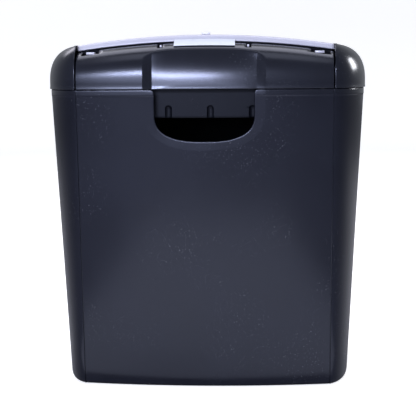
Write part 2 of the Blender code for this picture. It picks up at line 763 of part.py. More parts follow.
def plate_bushes():
    for place, plate in (("left", LEFT_PLATE), ("right", RIGHT_PLATE)):
        low, high = plate[0] - 0.0007, plate[1] + 0.0007
        for where, y in (("front", -AXIS_Y), ("rear", AXIS_Y)):
            ring = [(0.0068, high), (0.0068, low), (0.0053, low), (0.0053, high), (0.0068, high)]
            turned(f"{where}_{place}_bush", ring, (0, y, AXIS_Z), (1, 0, 0), BRONZE)


def tie_rods():
    inner = (LEFT_PLATE[1] + GAP, RIGHT_PLATE[0] - GAP)
    outer = (LEFT_PLATE[0] - 0.001, RIGHT_PLATE[1] + 0.0008)
    for name, (y, z) in ROD_PLACES.items():
        profile = [(0, outer[1]), (ROD_END_RADIUS, outer[1]), (ROD_END_RADIUS, inner[1])]
        profile += [(ROD_RADIUS, inner[1]), (ROD_RADIUS, inner[0]), (ROD_END_RADIUS, inner[0])]
        profile += [(ROD_END_RADIUS, outer[0]), (0, outer[0])]
        turned(name, profile, (0, y, z), (1, 0, 0), STEEL, steps=8)


def side_plates():
    bushes = [circle((y, AXIS_Z), 0.0073) for y in (-AXIS_Y, AXIS_Y)]
    rods = [circle(place, 0.0022, 10) for place in ROD_PLACES.values()]
    low, top = SIDE_PLATE_BOTTOM, 0.3235
    notch = [(0.012, top), (0.009, THROAT_BOTTOM - 0.001), (-0.009, THROAT_BOTTOM - 0.001), (-0.012, top)]
    left = [(-0.036, low), (0.035, low), (0.035, top), *notch, (-0.036, top)]
    thickness = LEFT_PLATE[1] - LEFT_PLATE[0]
    flat_part(
        "left_side_plate", [left, *bushes, *rods], ((LEFT_PLATE[0] + LEFT_PLATE[1]) / 2, 0, 0),
        thickness, STEEL, UPRIGHT,
    )
    right = [(-0.036, low), (0.0715, low), (0.0715, 0.312), (0.062, top), *notch, (-0.036, top)]
    axles = [circle(FIRST_AXLE, AXLE_RADIUS + GAP, 12), circle(SECOND_AXLE, AXLE_RADIUS + GAP, 12)]
    motor = [circle(MOTOR_AXIS, 0.0045)] + [circle(place, 0.0018, 8) for place in MOTOR_SCREWS]
    flat_part(
        "right_side_plate", [right, *bushes, *rods, *axles, *motor],
        ((RIGHT_PLATE[0] + RIGHT_PLATE[1]) / 2, 0, 0), thickness, STEEL, UPRIGHT,
    )


def stripper_combs():
    """Plastic combs whose fingers clear the strips out of the rollers' grooves."""
    left, right = ROLLER_ENDS
    pitch = (right - left) / LAND_COUNT
    finger = pitch * 0.19
    for name, side, offset in (("front_stripper_comb", -1, 0), ("rear_stripper_comb", 1, 1)):
        back = 0.0335
        face = AXIS_Y + LAND_RADIUS + 0.0008
        tip = AXIS_Y + CORE_RADIUS + 0.0006
        points = [(LEFT_PLATE[1] + GAP, face)]
        for i in range(LAND_COUNT):
            centre = left + pitch * (i + 0.75 if offset == 0 else i + 0.25)
            points += [(centre - finger, face), (centre - finger, tip)]
            points += [(centre + finger, tip), (centre + finger, face)]
        points += [(RIGHT_PLATE[0] - GAP, face), (RIGHT_PLATE[0] - GAP, back)]
        points += [(LEFT_PLATE[1] + GAP, back)]
        flat_part(name, [[(x, side * y) for x, y in points]], (0, 0, 0.2965), 0.007, BLACK_INNER)


# ---------------------------------------------------------------- gear train
def third_corner(a, b, from_a, from_b):
    """The upper point at two given distances from two points."""
    ax, ay = a
    dx, dy = b[0] - ax, b[1] - ay
    span = math.hypot(dx, dy)
    along = (from_a**2 - from_b**2 + span**2) / (2 * span)
    aside = math.sqrt(from_a**2 - along**2)
    ux, uy = dx / span, dy / span
    first = (ax + along * ux - aside * uy, ay + along * uy + aside * ux)
    second = (ax + along * ux + aside * uy, ay + along * uy - aside * ux)
    return max(first, second, key=lambda point: point[1])


def centre_distance(gear, mate):
    return (gear[0] * gear[1] + mate[0] * mate[1]) / 2


CUTTER_AXIS = (AXIS_Y, AXIS_Z)
STAGE_SPAN = centre_distance(SMALL_PINION, LARGE_GEAR)
FIRST_AXLE = third_corner(MOTOR_AXIS, CUTTER_AXIS, STAGE_SPAN, centre_distance(LAST_PINION, DRIVE_GEAR))
SECOND_AXLE = (
    FIRST_AXLE[0] + STAGE_SPAN * math.cos(GEAR_2_DIRECTION),
    FIRST_AXLE[1] + STAGE_SPAN * math.sin(GEAR_2_DIRECTION),
)
MOTOR_SCREWS = [
    (
        MOTOR_AXIS[0] + MOTOR_SCREW_CIRCLE * math.cos(math.radians(angle)),
        MOTOR_AXIS[1] + MOTOR_SCREW_CIRCLE * math.sin(math.radians(angle)),
    )
    for angle in (25, -95)
]


def gear_outline(gear, phase):
    """Teeth with straight flanks, 40% of the pitch thick at the pitch circle."""
    teeth, module = gear
    radius = teeth * module / 2
    pitch = 2 * math.pi / teeth
    root, tip = radius - 1.15 * module, radius + 0.8 * module
    points = []
    for i in range(teeth):
        centre = phase + i * pitch
        for r, half in ((root, -0.28), (tip, -0.12), (tip, 0.12), (root, 0.28)):
            points.append((r * math.cos(centre + half * pitch), r * math.sin(centre + half * pitch)))
    return points


def meshed_phase(phase, gear, mate, direction):
    """Phase of a gear's mate, in mesh with it along the direction from the gear to the mate."""
    return direction + math.pi - (phase - direction) * gear[0] / mate[0] + math.pi / mate[0]


def direction_to(a, b):
    return math.atan2(b[1] - a[1], b[0] - a[0])


def gear_solid(name, gear, phase, axis, plane, material, bore=None):
    outlines = [gear_outline(gear, phase)]
    if bore:
        outlines.append(circle((0, 0), bore, 12))
    middle = (plane[0] + plane[1]) / 2
    return flat_part(
        name, outlines, (middle, *axis), plane[1] - plane[0], material, UPRIGHT, as_mesh=True
    )


def double_gear(name, large, large_phase, large_plane, small, small_plane, axis):
    """A large gear and its pinion, moulded in one piece, on a plain bore."""
    made = gear_solid(name, large, large_phase, axis, large_plane, NYLON)
    pinion_plane = (large_plane[1] - 0.001, small_plane[1])
    join(made, gear_solid("pinion_part", small, 0.0, axis, pinion_plane, NYLON))
    bore = AXLE_RADIUS + GAP
    cut(made, cylinder("gear_bore", (large_plane[0], *axis), (1, 0, 0), bore, 0.05, steps=12))


def gear_train():
    """Three reductions of 3:1 on two fixed axles, and a last one of 2.2:1 to the rear cutter."""
    small, large = SMALL_PINION, LARGE_GEAR
    first_phase = meshed_phase(0.0, small, large, direction_to(MOTOR_AXIS, FIRST_AXLE))
    second_phase = meshed_phase(0.0, small, large, GEAR_2_DIRECTION)
    third_phase = meshed_phase(0.0, small, large, GEAR_2_DIRECTION + math.pi)
    drive_phase = meshed_phase(0.0, LAST_PINION, DRIVE_GEAR, direction_to(FIRST_AXLE, CUTTER_AXIS))
    gear_solid("motor_pinion", small, 0.0, MOTOR_AXIS, PLANE_1, STEEL, bore=0.0018)
    double_gear("first_gear", large, first_phase, PLANE_1, small, PLANE_2, FIRST_AXLE)
    double_gear("second_gear", large, second_phase, PLANE_2, small, PLANE_3, SECOND_AXLE)
    double_gear("third_gear", large, third_phase, PLANE_3, LAST_PINION, PLANE_4, FIRST_AXLE)
    bore = JOURNAL_RADIUS + GAP
    gear_solid("cutter_drive_gear", DRIVE_GEAR, drive_phase, CUTTER_AXIS, PLANE_4, NYLON, bore)
    front_axis = (-AXIS_Y, AXIS_Z)
    rear_phase = meshed_phase(0.0, PHASING_GEAR, PHASING_GEAR, 0.0)
    gear_solid("front_phasing_gear", PHASING_GEAR, 0.0, front_axis, PHASING_PLANE, STEEL, bore)
    gear_solid("rear_phasing_gear", PHASING_GEAR, rear_phase, CUTTER_AXIS, PHASING_PLANE, STEEL, bore)


def gear_axles():
    for name, axle, end in (
        ("first_gear_axle", FIRST_AXLE, PLANE_4[1] + 0.0025),
        ("second_gear_axle", SECOND_AXLE, PLANE_3[1] + 0.0025),
    ):
        groove = end - 0.0012
        profile = [(0, end), (AXLE_RADIUS, end), (AXLE_RADIUS, groove), (0.0018, groove)]
        profile += [(0.0018, groove - 0.0008), (AXLE_RADIUS, groove - 0.0008)]
        profile += [(AXLE_RADIUS, RIGHT_PLATE[0]), (0, RIGHT_PLATE[0])]
        turned(name, profile, (0, *axle), (1, 0, 0), STEEL, steps=12)
        clip_name = name.replace("_gear_axle", "_axle_clip")
        clip_place = (groove - 0.0004, *axle)
        flat_part(clip_name, [clip_outline(0.0021, 0.0042)], clip_place, 0.0005, STEEL, UPRIGHT)


def clip_outline(inner, outer, opening=math.radians(70), steps=10):
    """A C-shaped retaining clip."""
    angles = [opening / 2 + (2 * math.pi - opening) * i / steps for i in range(steps + 1)]
    points = [(outer * math.cos(a), outer * math.sin(a)) for a in angles]
    return points + [(inner * math.cos(a), inner * math.sin(a)) for a in reversed(angles)]


# ---------------------------------------------------------------- motor
def motor():
    centre = (0, *MOTOR_AXIS)
    along = (1, 0, 0)
    face = RIGHT_PLATE[0] - GAP
    inside = MOTOR_RADIUS - MOTOR_CAN_WALL
    can = [(MOTOR_RADIUS, face), (MOTOR_RADIUS, MOTOR_BACK), (inside, MOTOR_BACK), (inside, face - 0.002)]
    can += [(0.0022, face - 0.002), (0.0022, face), (MOTOR_RADIUS, face)]
    case = turned("motor_can", can, centre, along, MOTOR_STEEL, steps=20)
    for place in MOTOR_SCREWS:
        cut(case, cylinder("motor_tap", (face, *place), along, SCREW_SHANK_RADIUS + GAP, 0.010, steps=8))
    shaft_tip = PLANE_1[1] + 0.001
    rotor = [(0, shaft_tip), (MOTOR_SHAFT_RADIUS, shaft_tip), (MOTOR_SHAFT_RADIUS, ROTOR_SPAN[1])]
    rotor += [(ROTOR_RADIUS, ROTOR_SPAN[1]), (ROTOR_RADIUS, ROTOR_SPAN[0])]
    rotor += [(COMMUTATOR_RADIUS, ROTOR_SPAN[0]), (COMMUTATOR_RADIUS, COMMUTATOR_END)]
    rotor += [(MOTOR_SHAFT_RADIUS, COMMUTATOR_END)]
    rotor += [(MOTOR_SHAFT_RADIUS, SHAFT_END), (0, SHAFT_END)]
    turned("motor_rotor", rotor, centre, along, BRONZE, steps=14)
    seat = MOTOR_BACK - GAP
    bell = [(MOTOR_RADIUS, seat), (MOTOR_RADIUS, BELL_BACK), (COMMUTATOR_RADIUS, BELL_BACK)]
    bell += [(COMMUTATOR_RADIUS, BELL_BOSS_END), (BELL_BORE, BELL_BOSS_END), (BELL_BORE, seat)]
    bell += [(MOTOR_RADIUS, seat)]
    turned("motor_end_bell", bell, centre, along, BLACK_INNER, steps=20)
    for i, (y, z) in enumerate(MOTOR_SCREWS, 1):
        top = RIGHT_PLATE[1] + GAP
        screw(f"motor_screw_{i}", (top, y, z), (1, 0, 0), 0.0045, 0.0022)


def screw(name, seat, axis, length, head_height, head_radius=0.0024):
    """A pan-head screw. The seat is the underside of its head, and the axis points out of it."""
    profile = [(0, head_height), (head_radius * 0.75, head_height), (head_radius, head_height * 0.5)]
    profile += [(head_radius, 0), (SCREW_SHANK_RADIUS, 0), (SCREW_SHANK_RADIUS, -length), (0, -length)]
    turned(name, profile, seat, axis, STEEL, steps=8)


def casing_screws():
    names = [f"cover_screw_{i}" for i in range(1, 5)] + ["cap_screw_left", "cap_screw_right"]
    for name, (x, y) in zip(names, COVER_POSTS + CAP_POSTS):
        screw(name, (x, y, SKIRT_TOP - GAP), (0, 0, -1), 0.0110, 0.0020, SCREW_HEAD_RADIUS)


# ---------------------------------------------------------------- controls and electrics
def paper_sensor():
    """A lever whose tip hangs across the slot, and the small switch that it works."""
    # The tip, the hub and the short arm, as (y, z) round the pivot
    outline = [
        (-0.0022, 0.0012), (-0.0068, 0.0026), (-0.0070, 0.0010), (-0.0018, -0.0016),
        (0.0010, -0.0024), (0.0120, -0.0058), (0.0150, -0.0052), (0.0150, -0.0040),
        (0.0120, -0.0034), (0.0022, 0.0010), (0.0012, 0.0022), (-0.0012, 0.0022),
    ]
    bore = circle((0, 0), 0.0010, 8)
    flat_part("paper_sensor_lever", [outline, bore], (SENSOR_X, *SENSOR_PIVOT), 0.003, NYLON, UPRIGHT)
    cylinder("sensor_pivot_pin", (SENSOR_X - 0.0035, *SENSOR_PIVOT), (1, 0, 0), 0.0007, 0.011, STEEL, 8)
    y, z = SENSOR_PIVOT
    low = (SENSOR_X - 0.0160, y - 0.0050, z - 0.0060)
    box("sensor_switch", low, (SENSOR_X - 0.0030, y + 0.0010, z - 0.0011))


def mode_switch():
    """Slide switch: back to off in the middle, forward and reverse at the sides."""
    body_top = arch(0) - DECK_DROP - WALL - GAP
    box("mode_switch_body", (-0.011, KNOB_Y - 0.005, body_top - 0.010), (0.011, KNOB_Y + 0.005, body_top))
    knob_foot = arch(0) + GAP
    knob_top = knob_foot + 0.0030
    low = (-0.005, KNOB_Y - 0.004, knob_foot)
    knob = box("mode_switch_knob", low, (0.005, KNOB_Y + 0.004, knob_top), KNOB)
    stem_low = (-0.002, KNOB_Y - 0.002, body_top + GAP)
    join(knob, box("knob_stem", stem_low, (0.002, KNOB_Y + 0.002, knob_foot + 0.001)))


def interlock():
    """Safety switch that stops the motor when the head is lifted off the basket. The basket's
    shelf holds the plunger up against its spring."""
    x, y = INTERLOCK_X, INTERLOCK_Y
    foot = INTERLOCK_SHELF + GAP
    top = INTERLOCK_SWITCH_Z - GAP
    collar = SKIRT_TOP + BASE_WALL + INTERLOCK_TRAVEL + 2 * GAP
    collar_top = collar + COLLAR_HEIGHT
    profile = [(0, top), (PLUNGER_TIP_RADIUS, top), (PLUNGER_TIP_RADIUS, collar_top)]
    profile += [(PLUNGER_COLLAR_RADIUS, collar_top), (PLUNGER_COLLAR_RADIUS, collar)]
    profile += [(PLUNGER_RADIUS, collar), (PLUNGER_RADIUS, foot + 0.001)]
    profile += [(PLUNGER_FOOT_RADIUS, foot), (0, foot)]
    turned("interlock_plunger", profile, (x, y, 0), (0, 0, 1), NYLON, steps=10)
    low = (x - 0.0105, y - 0.003, INTERLOCK_SWITCH_Z)
    box("interlock_switch", low, (x + 0.0095, y + 0.003, INTERLOCK_SWITCH_Z + 0.008))
    coil = bpy.data.curves.new("interlock_spring", "CURVE")
    coil.dimensions = "3D"
    coil.bevel_depth = SPRING_WIRE
    coil.bevel_resolution = 0
    coil.use_fill_caps = True
    low = collar_top + 2 * GAP
    high = INTERLOCK_SWITCH_Z - 2 * GAP
    turns = 3
    steps = 8
    spline = coil.splines.new("POLY")
    spline.points.add(turns * steps)
    for i, point in enumerate(spline.points):
        angle = 2 * math.pi * i / steps
        height = low + (high - low) * i / (turns * steps)
        point.co = (SPRING_RADIUS * math.cos(angle), SPRING_RADIUS * math.sin(angle), height, 1)
    coil.materials.append(STEEL)
    spring = bpy.data.objects.new("interlock_spring", coil)
    spring.location = (x, y, 0)
    SHREDDER.objects.link(spring)


def electronics():
    low_x, high_x = BOARD_X
    low_y, high_y = BOARD_Y
    top = BOARD_Z + 0.0016
    box("circuit_board", (low_x, low_y, BOARD_Z), (high_x, high_y, top), BOARD_GREEN)
    seat = top + GAP
    box("relay", (-0.068, -0.064, seat), (-0.049, -0.048, seat + 0.015), BLUE)
    box("rectifier", (-0.042, -0.058, seat), (-0.022, -0.053, seat + 0.016), BLACK_INNER)
    cylinder("capacitor", (-0.008, -0.055, seat + 0.010), (0, 0, 1), 0.007, 0.020, BLUE, 14)


def cord_gland():
    """Bush that holds the mains cord where it leaves the back."""
    profile = [(0.0070, 0.0014), (0.0078, 0.0004), (GLAND_RADIUS, 0.0004), (GLAND_RADIUS, -0.0120)]
    profile += [(0.0035, -0.0120), (0.0035, 0.0014), (0.0070, 0.0014)]
    back = HEAD_HALF_DEPTH - FRONT_BOW + FRONT_BOW * BACK_BOW_SHARE * (1 - (GLAND_X / SEAM_X) ** 2)
    turned("cord_gland", profile, (GLAND_X, back + 0.0001, GLAND_Z), (0, 1, 0), RUBBER)


waste_basket()
head_base()
head_cover()
end_cap("left_end_cap", -1)
end_cap("right_end_cap", 1)
top_plate()
nameplate()
paper_throat()
cutter_rollers()
plate_bushes()
tie_rods()
side_plates()
stripper_combs()
gear_train()
gear_axles()
motor()
casing_screws()
paper_sensor()
mode_switch()
interlock()
electronics()
cord_gland()
bpy.context.view_layer.update()
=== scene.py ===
import json
import math

import bmesh
import bpy
import numpy as np
from mathutils import Matrix, Vector


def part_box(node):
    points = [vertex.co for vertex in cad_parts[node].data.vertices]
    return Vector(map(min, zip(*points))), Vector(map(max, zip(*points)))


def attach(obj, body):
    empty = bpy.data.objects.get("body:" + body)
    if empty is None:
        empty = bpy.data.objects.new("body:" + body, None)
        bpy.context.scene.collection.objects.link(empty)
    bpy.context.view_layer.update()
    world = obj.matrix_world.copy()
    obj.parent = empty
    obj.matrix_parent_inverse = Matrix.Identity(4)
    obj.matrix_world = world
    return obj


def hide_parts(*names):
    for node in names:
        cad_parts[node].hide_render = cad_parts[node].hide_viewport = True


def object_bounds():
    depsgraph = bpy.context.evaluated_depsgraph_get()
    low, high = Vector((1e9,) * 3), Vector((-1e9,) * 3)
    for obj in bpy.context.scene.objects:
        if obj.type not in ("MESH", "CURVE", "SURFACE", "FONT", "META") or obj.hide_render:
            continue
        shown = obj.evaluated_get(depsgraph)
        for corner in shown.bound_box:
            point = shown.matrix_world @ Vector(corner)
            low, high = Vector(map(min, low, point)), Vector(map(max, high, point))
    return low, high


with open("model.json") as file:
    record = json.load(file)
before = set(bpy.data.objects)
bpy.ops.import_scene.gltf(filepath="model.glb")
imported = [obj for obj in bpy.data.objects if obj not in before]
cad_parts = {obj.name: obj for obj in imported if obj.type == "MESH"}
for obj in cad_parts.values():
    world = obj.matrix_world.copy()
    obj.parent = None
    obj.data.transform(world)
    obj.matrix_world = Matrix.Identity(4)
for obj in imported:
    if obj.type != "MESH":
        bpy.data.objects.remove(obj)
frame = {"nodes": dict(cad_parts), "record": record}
CAD_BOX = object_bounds()

# ---------------------------------------------------------------- sizes shared with the design (metres)
COVER_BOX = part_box("head_cover")
PLATE_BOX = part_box("top_plate")
BASKET_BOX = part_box("waste_basket")

CROWN = PLATE_BOX[1].z  # highest line of the top plate
ARCH_RISE = 0.0095  # fall of the top plate from its middle to its ends
SEAM_X = 0.122  # upright joint between the front panel and the rounded ends
SEAM_FLARE = 0.003  # the head's joint leans out this far at its top
FRONT_BOW = 0.008  # the front stands this far forward in its middle
BACK_BOW_SHARE = 0.77  # the back's bow as a share of the front's
HEAD_BOTTOM = COVER_BOX[0].z
HEAD_SHOULDER = 0.299
HEAD_HALF_WIDTH = CAD_BOX[1].x
HEAD_HALF_DEPTH = 0.094
RIM = HEAD_BOTTOM - 0.0005
BASKET_TOP_HALF = (BASKET_BOX[1].x, 0.0925)
BASKET_FOOT_HALF = (0.145, 0.079)
FOOT_ROUND = 0.004
WALL = 0.0024
PLATE_HALF_DEPTH = PLATE_BOX[1].y
PLATE_BOW = 0.006
PLATE_HALF_LENGTH = PLATE_BOX[1].x
DECK_DROP = 0.0055  # the cover's deck lies this far under the top plate's crown line
CASE_EXPONENT = 2.3  # of the superellipse from the cover's wall to its shoulder
CAP_EXPONENT = 2.5  # and of the end caps
SHOULDER_DROP = 0.0078  # the cover's shoulder lies this far under the top plate's crown line
SHOULDER_OUT = 0.0013  # and this far in front of its lip
CAP_WALL = 0.0020
BASE_WALL = 0.0020
PLATE_WALL = 0.0014
NAMEPLATE_WALL = 0.0007
THROAT_WALL = 0.0015
SCREW_HOLE_RADIUS = 0.0020

GRIP = (0.0472, 0.244, 0.026)  # half width, foot height and foot rounding of the hand cut-out
RECESS = (0.058, 0.235, 0.042)  # the same for the sloped border round it
RECESS_EXPONENT = 2.6
RECESS_FLOOR = 0.0492  # half width of the recess's floor in the cover
RECESS_DEPTH = 0.0062  # its depth near its top
RECESS_FOOT = 0.0030  # and at the head's lower edge
SCOOP_DEPTH = 0.0005  # depth of the basket's border at the cut-out
BODY_SEAM = 0.0006  # half width of the grooves beside the front and back panels


# ---------------------------------------------------------------- mesh helpers
SHARP = 35  # degrees between two faces from which their edge stays crisp
WELD = 2e-6  # points closer than this become one


def link_mesh(name, bm, sharp=SHARP):
    """Puts a bmesh in the scene as an object with smooth shading, and frees it."""
    mesh = bpy.data.meshes.new(name)
    bm.to_mesh(mesh)
    bm.free()
    made = bpy.data.objects.new(name, mesh)
    bpy.context.scene.collection.objects.link(made)
    mesh.shade_smooth()
    mesh.set_sharp_from_angle(angle=math.radians(sharp))
    return made


def mesh_object(name, verts, faces, sharp=SHARP):
    source = bpy.data.meshes.new("points")
    source.from_pydata([tuple(v) for v in verts], [], faces)
    bm = bmesh.new()
    bm.from_mesh(source)
    bpy.data.meshes.remove(source)
    bmesh.ops.remove_doubles(bm, verts=bm.verts, dist=WELD)
    return link_mesh(name, bm, sharp)


def grid_faces(rows, columns, first=0, closed=False):
    faces = []
    for i in range(rows - 1):
        for j in range(columns if closed else columns - 1):
            k = (j + 1) % columns
            a = first + i * columns
            faces.append((a + j, a + columns + j, a + columns + k, a + k))
    return faces


def sheet(name, rows, opening=lambda x, y, z: False, flip=False, sharp=SHARP):
    """A surface through rows of points, left open where opening says so."""
    columns = len(rows[0])
    verts = [p for row in rows for p in row]
    faces = []
    for face in grid_faces(len(rows), columns):
        middle = [sum(verts[k][i] for k in face) / 4 for i in range(3)]
        if not opening(*middle):
            faces.append(face[::-1] if flip else face)
    return mesh_object(name, verts, faces, sharp)


def bake(made):
    """Applies the object's modifiers to its mesh."""
    bpy.context.view_layer.update()
    graph = bpy.context.evaluated_depsgraph_get()
    mesh = bpy.data.meshes.new_from_object(made.evaluated_get(graph))
    made.modifiers.clear()
    made.data = mesh
    return made


def thicken(made, thickness=WALL, materials=()):
    """Gives a sheet its wall, on its inner side; a second material goes there and on the rims."""
    for material in materials:
        made.data.materials.append(material)
    wall = made.modifiers.new("wall", "SOLIDIFY")
    wall.thickness = thickness
    wall.offset = -1
    if len(materials) > 1:
        wall.material_offset = 1
        wall.material_offset_rim = 1
    return bake(made)


def bevel(made, width, segments=2):
    edge = made.modifiers.new("edge", "BEVEL")
    edge.width = width
    edge.segments = segments
    edge.limit_method = "ANGLE"
    edge.angle_limit = math.radians(SHARP)
    edge.use_clamp_overlap = True
    edge.harden_normals = True


def cut(target, tools):
    """Cuts the tools out of the target and deletes them."""
    for tool in tools:
        step = target.modifiers.new("cut", "BOOLEAN")
        step.operation = "DIFFERENCE"
        step.object = tool
    bake(target)
    for tool in tools:
        bpy.data.objects.remove(tool)
    target.data.shade_smooth()
    target.data.set_sharp_from_angle(angle=math.radians(SHARP))


def block(name, low, high, rounding=0.0, segments=3):
    """A box between two corners, with rounded edges."""
    bm = bmesh.new()
    bmesh.ops.create_cube(bm, size=1.0)
    low, high = Vector(low), Vector(high)
    bmesh.ops.scale(bm, vec=high - low, verts=bm.verts)
    bmesh.ops.translate(bm, vec=(low + high) / 2, verts=bm.verts)
    if rounding:
        bmesh.ops.bevel(
            bm, geom=list(bm.edges) + list(bm.verts), offset=rounding, segments=segments,
            profile=0.5, affect="EDGES", clamp_overlap=True,
        )
    return link_mesh(name, bm)


def upright_rod(name, centre, radius, length):
    bm = bmesh.new()
    bmesh.ops.create_cone(bm, cap_ends=True, segments=32, radius1=radius, radius2=radius, depth=length)
    bmesh.ops.translate(bm, vec=centre, verts=bm.verts)
    return link_mesh(name, bm)


def middle_of(node):
    """Middle of a CAD node's box, seen from above."""
    low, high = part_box(node)
    return (low.x + high.x) / 2, (low.y + high.y) / 2


def finish_piece(made, material, body, slot, *nodes):
    """Gives a piece its material unless it has one, and its body, and hides what it replaces; the slot
    argument is not used.
    """
    if material:
        made.data.materials.clear()
        made.data.materials.append(material)
    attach(made, body)
    if nodes:
        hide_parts(*nodes)


# ---------------------------------------------------------------- shape rules
def arch(x):
    """Height of the top plate's crown line."""
    return CROWN - ARCH_RISE * (x / (SEAM_X + SEAM_FLARE)) ** 2


def plate_edge(x):
    """Distance from the middle plane to the top plate's front or back edge."""
    return PLATE_HALF_DEPTH - PLATE_BOW * (x / SEAM_X) ** 2


def shoulder_edge(x):
    return plate_edge(x) + SHOULDER_OUT


def end_ellipse(half_width, half_depth, bow, seam):
    """Centre and half axes of the rounded end that leaves the seam with the panel's slope."""
    corner = half_depth - bow
    slope = 2 * bow / seam
    reach = half_width - seam
    shift = reach**2 * slope / (corner - 2 * reach * slope)
    a = reach + shift
    return seam - shift, a, math.sqrt(slope * a**2 * corner / shift)


def u_curve(shape, t):
    """Point (x, z) of the U at t from 0 to 1, from the rim on the left round to the rim on the
    right: straight sides and half a superellipse as its foot."""
    half_width, bottom, corner = shape
    angle = math.pi * (1 - t)
    c, s = math.cos(angle), math.sin(angle)
    x = half_width * math.copysign(abs(c) ** (2 / RECESS_EXPONENT), c)
    return x, bottom + corner * (1 - abs(s) ** (2 / RECESS_EXPONENT))


def even_u(shape, top, count):
    """count points at even spacing along the U, below the height top."""
    fine = [(-shape[0], top)]
    fine += [u_curve(shape, t) for t in np.linspace(0, 1, 800)]
    fine += [(shape[0], top)]
    fine = np.array(fine)
    length = np.concatenate([[0], np.cumsum(np.linalg.norm(np.diff(fine, axis=0), axis=1))])
    want = np.linspace(0, length[-1], count)
    return np.stack([np.interp(want, length, fine[:, i]) for i in (0, 1)], 1)


# ---------------------------------------------------------------- waste basket
# How far the rim stands out (metres) at depths below its top edge: a rounded bead, then a groove
RIM_PROFILE = [
    (0.0, -0.0006), (0.0002, -0.0002), (0.0005, 0.0), (0.0012, 0.00005), (0.0022, 0.0001),
    (0.0034, 0.00016), (0.0046, 0.00021), (0.0053, 0.00023), (0.0057, 0.0002), (0.0060, 0.0001),
    (0.0063, 0.0), (0.0070, 0.0),
]
WALL_STEPS = 49
FOOT_STEPS = 6
PANEL_STEPS = 72  # samples along the bottom of the front panel
SIDE_STEPS = 40
BACK_STEPS = 48
# The upright grooves at the seams: (distance past the seam, depth)
GROOVE = [(-0.0006, 0.0), (-0.0004, 0.0003), (-0.0003, 0.0014), (0.0003, 0.0014), (0.0004, 0.0003)]
TOP_CORNER = 0.0035  # rounding where the rim turns into the hand cut-out


def basket_half(z):
    """Half width and half depth of the basket at a height."""
    share = max(z, 0.0) / RIM
    return [f + (t - f) * share for f, t in zip(BASKET_FOOT_HALF, BASKET_TOP_HALF)]


def basket_ring(z, out=0.0):
    """Stations round the basket at a height, in order: front, right end, back and left end,
    with a groove between each two."""
    half_width, half_depth = (h + out for h in basket_half(z))
    seam = SEAM_X + min(out, 0.0) if z < FOOT_ROUND else SEAM_X
    corner = half_depth - FRONT_BOW
    centre, a, b = end_ellipse(half_width, half_depth, FRONT_BOW, seam)
    start = math.acos((seam + BODY_SEAM - centre) / a)
    ring = []
    for turn, bow, count in ((1, FRONT_BOW, PANEL_STEPS), (-1, FRONT_BOW * BACK_BOW_SHARE, BACK_STEPS)):
        edge = seam - BODY_SEAM
        for x in np.linspace(-edge, edge, count + 1):
            ring.append((turn * x, -turn * (corner + bow * (1 - (x / seam) ** 2)), z))
        for across, deep in GROOVE[1:]:
            ring.append((turn * (seam + across), -turn * (corner - deep), z))
        for v in np.linspace(-1, 1, SIDE_STEPS + 1):
            angle = start * math.sin(math.pi / 2 * v)
            ring.append((turn * (centre + a * math.cos(angle)), turn * b * math.sin(angle), z))
        for across, deep in reversed(GROOVE[1:]):
            ring.append((turn * (seam + across), turn * (corner - deep), z))
    return ring


def waste_basket():
    """The tapered bin, with its beaded rim, seam grooves and hand cut-out."""
    details = [RIM - depth for depth, _ in RIM_PROFILE]
    outs = [out for _, out in RIM_PROFILE]
    plain = list(np.linspace(details[-1], FOOT_ROUND, WALL_STEPS + 1)[1:])
    heights = details + plain
    outs += [0.0] * len(plain)
    rings = [basket_ring(z, out) for z, out in zip(heights, outs)]
    # Everything but the front panel, as one grid down the basket
    wrap = [ring[PANEL_STEPS:] + ring[:1] for ring in rings]
    verts = [p for row in wrap for p in row]
    faces = grid_faces(len(wrap), len(wrap[0]))
    # The rounded foot and the floor
    foot = [rings[-1]]
    for i in range(1, FOOT_STEPS + 1):
        angle = math.pi / 2 * i / FOOT_STEPS
        inset = FOOT_ROUND * (1 - math.cos(angle))
        foot.append(basket_ring(FOOT_ROUND * (1 - math.sin(angle)), -inset))
    base = len(verts)
    verts += [p for row in foot for p in row]
    faces += grid_faces(len(foot), len(foot[0]), base, closed=True)
    loop = len(foot[0])
    faces.append(tuple(base + (len(foot) - 1) * loop + j for j in range(loop))[::-1])
    # The front panel, as nested U-shaped rings from the cut-out's edge to the panel's border
    inner, outer = front_rings(heights)
    side = SEAM_X - BODY_SEAM
    border = [(-side, z) for z in heights]
    border += [(x, FOOT_ROUND) for x in np.linspace(-1, 1, PANEL_STEPS + 1)[1:-1] * side]
    border += [(side, z) for z in reversed(heights)]
    border = np.array(border)
    layers = panel_layers(inner, outer, border)
    base = len(verts)
    for points, deep in layers:
        for (x, z), d in zip(points, deep):
            out = np.interp(RIM - z, *zip(*RIM_PROFILE))
            half_depth = basket_half(z)[1] + out
            y = -(half_depth - FRONT_BOW * (x / SEAM_X) ** 2) + d
            verts.append((x, y, z))
    count = len(layers[0][0])
    faces += grid_faces(len(layers), count, base)
    shell = thicken(mesh_object("waste_basket", verts, faces), WALL, (CASING, LINING))
    for vertex in shell.data.vertices:  # the wall pokes under the foot at the grooves' ends
        vertex.co.z = max(vertex.co.z, 0.0)
    finish_piece(shell, None, "basket", "black_casing", "waste_basket")
    interlock_shelf()


def interlock_shelf():
    """Shelf in the basket that the interlock plunger stands on."""
    x, y = middle_of("interlock_plunger")
    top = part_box("interlock_plunger")[0].z - 0.0003
    low, high = (x - 0.006, y - 0.0018, top - 0.012), (x + 0.006, y + 0.0050, top)
    shelf = block("interlock_shelf", low, high, 0.0006)
    finish_piece(shelf, INNER, "basket", "black_casing")


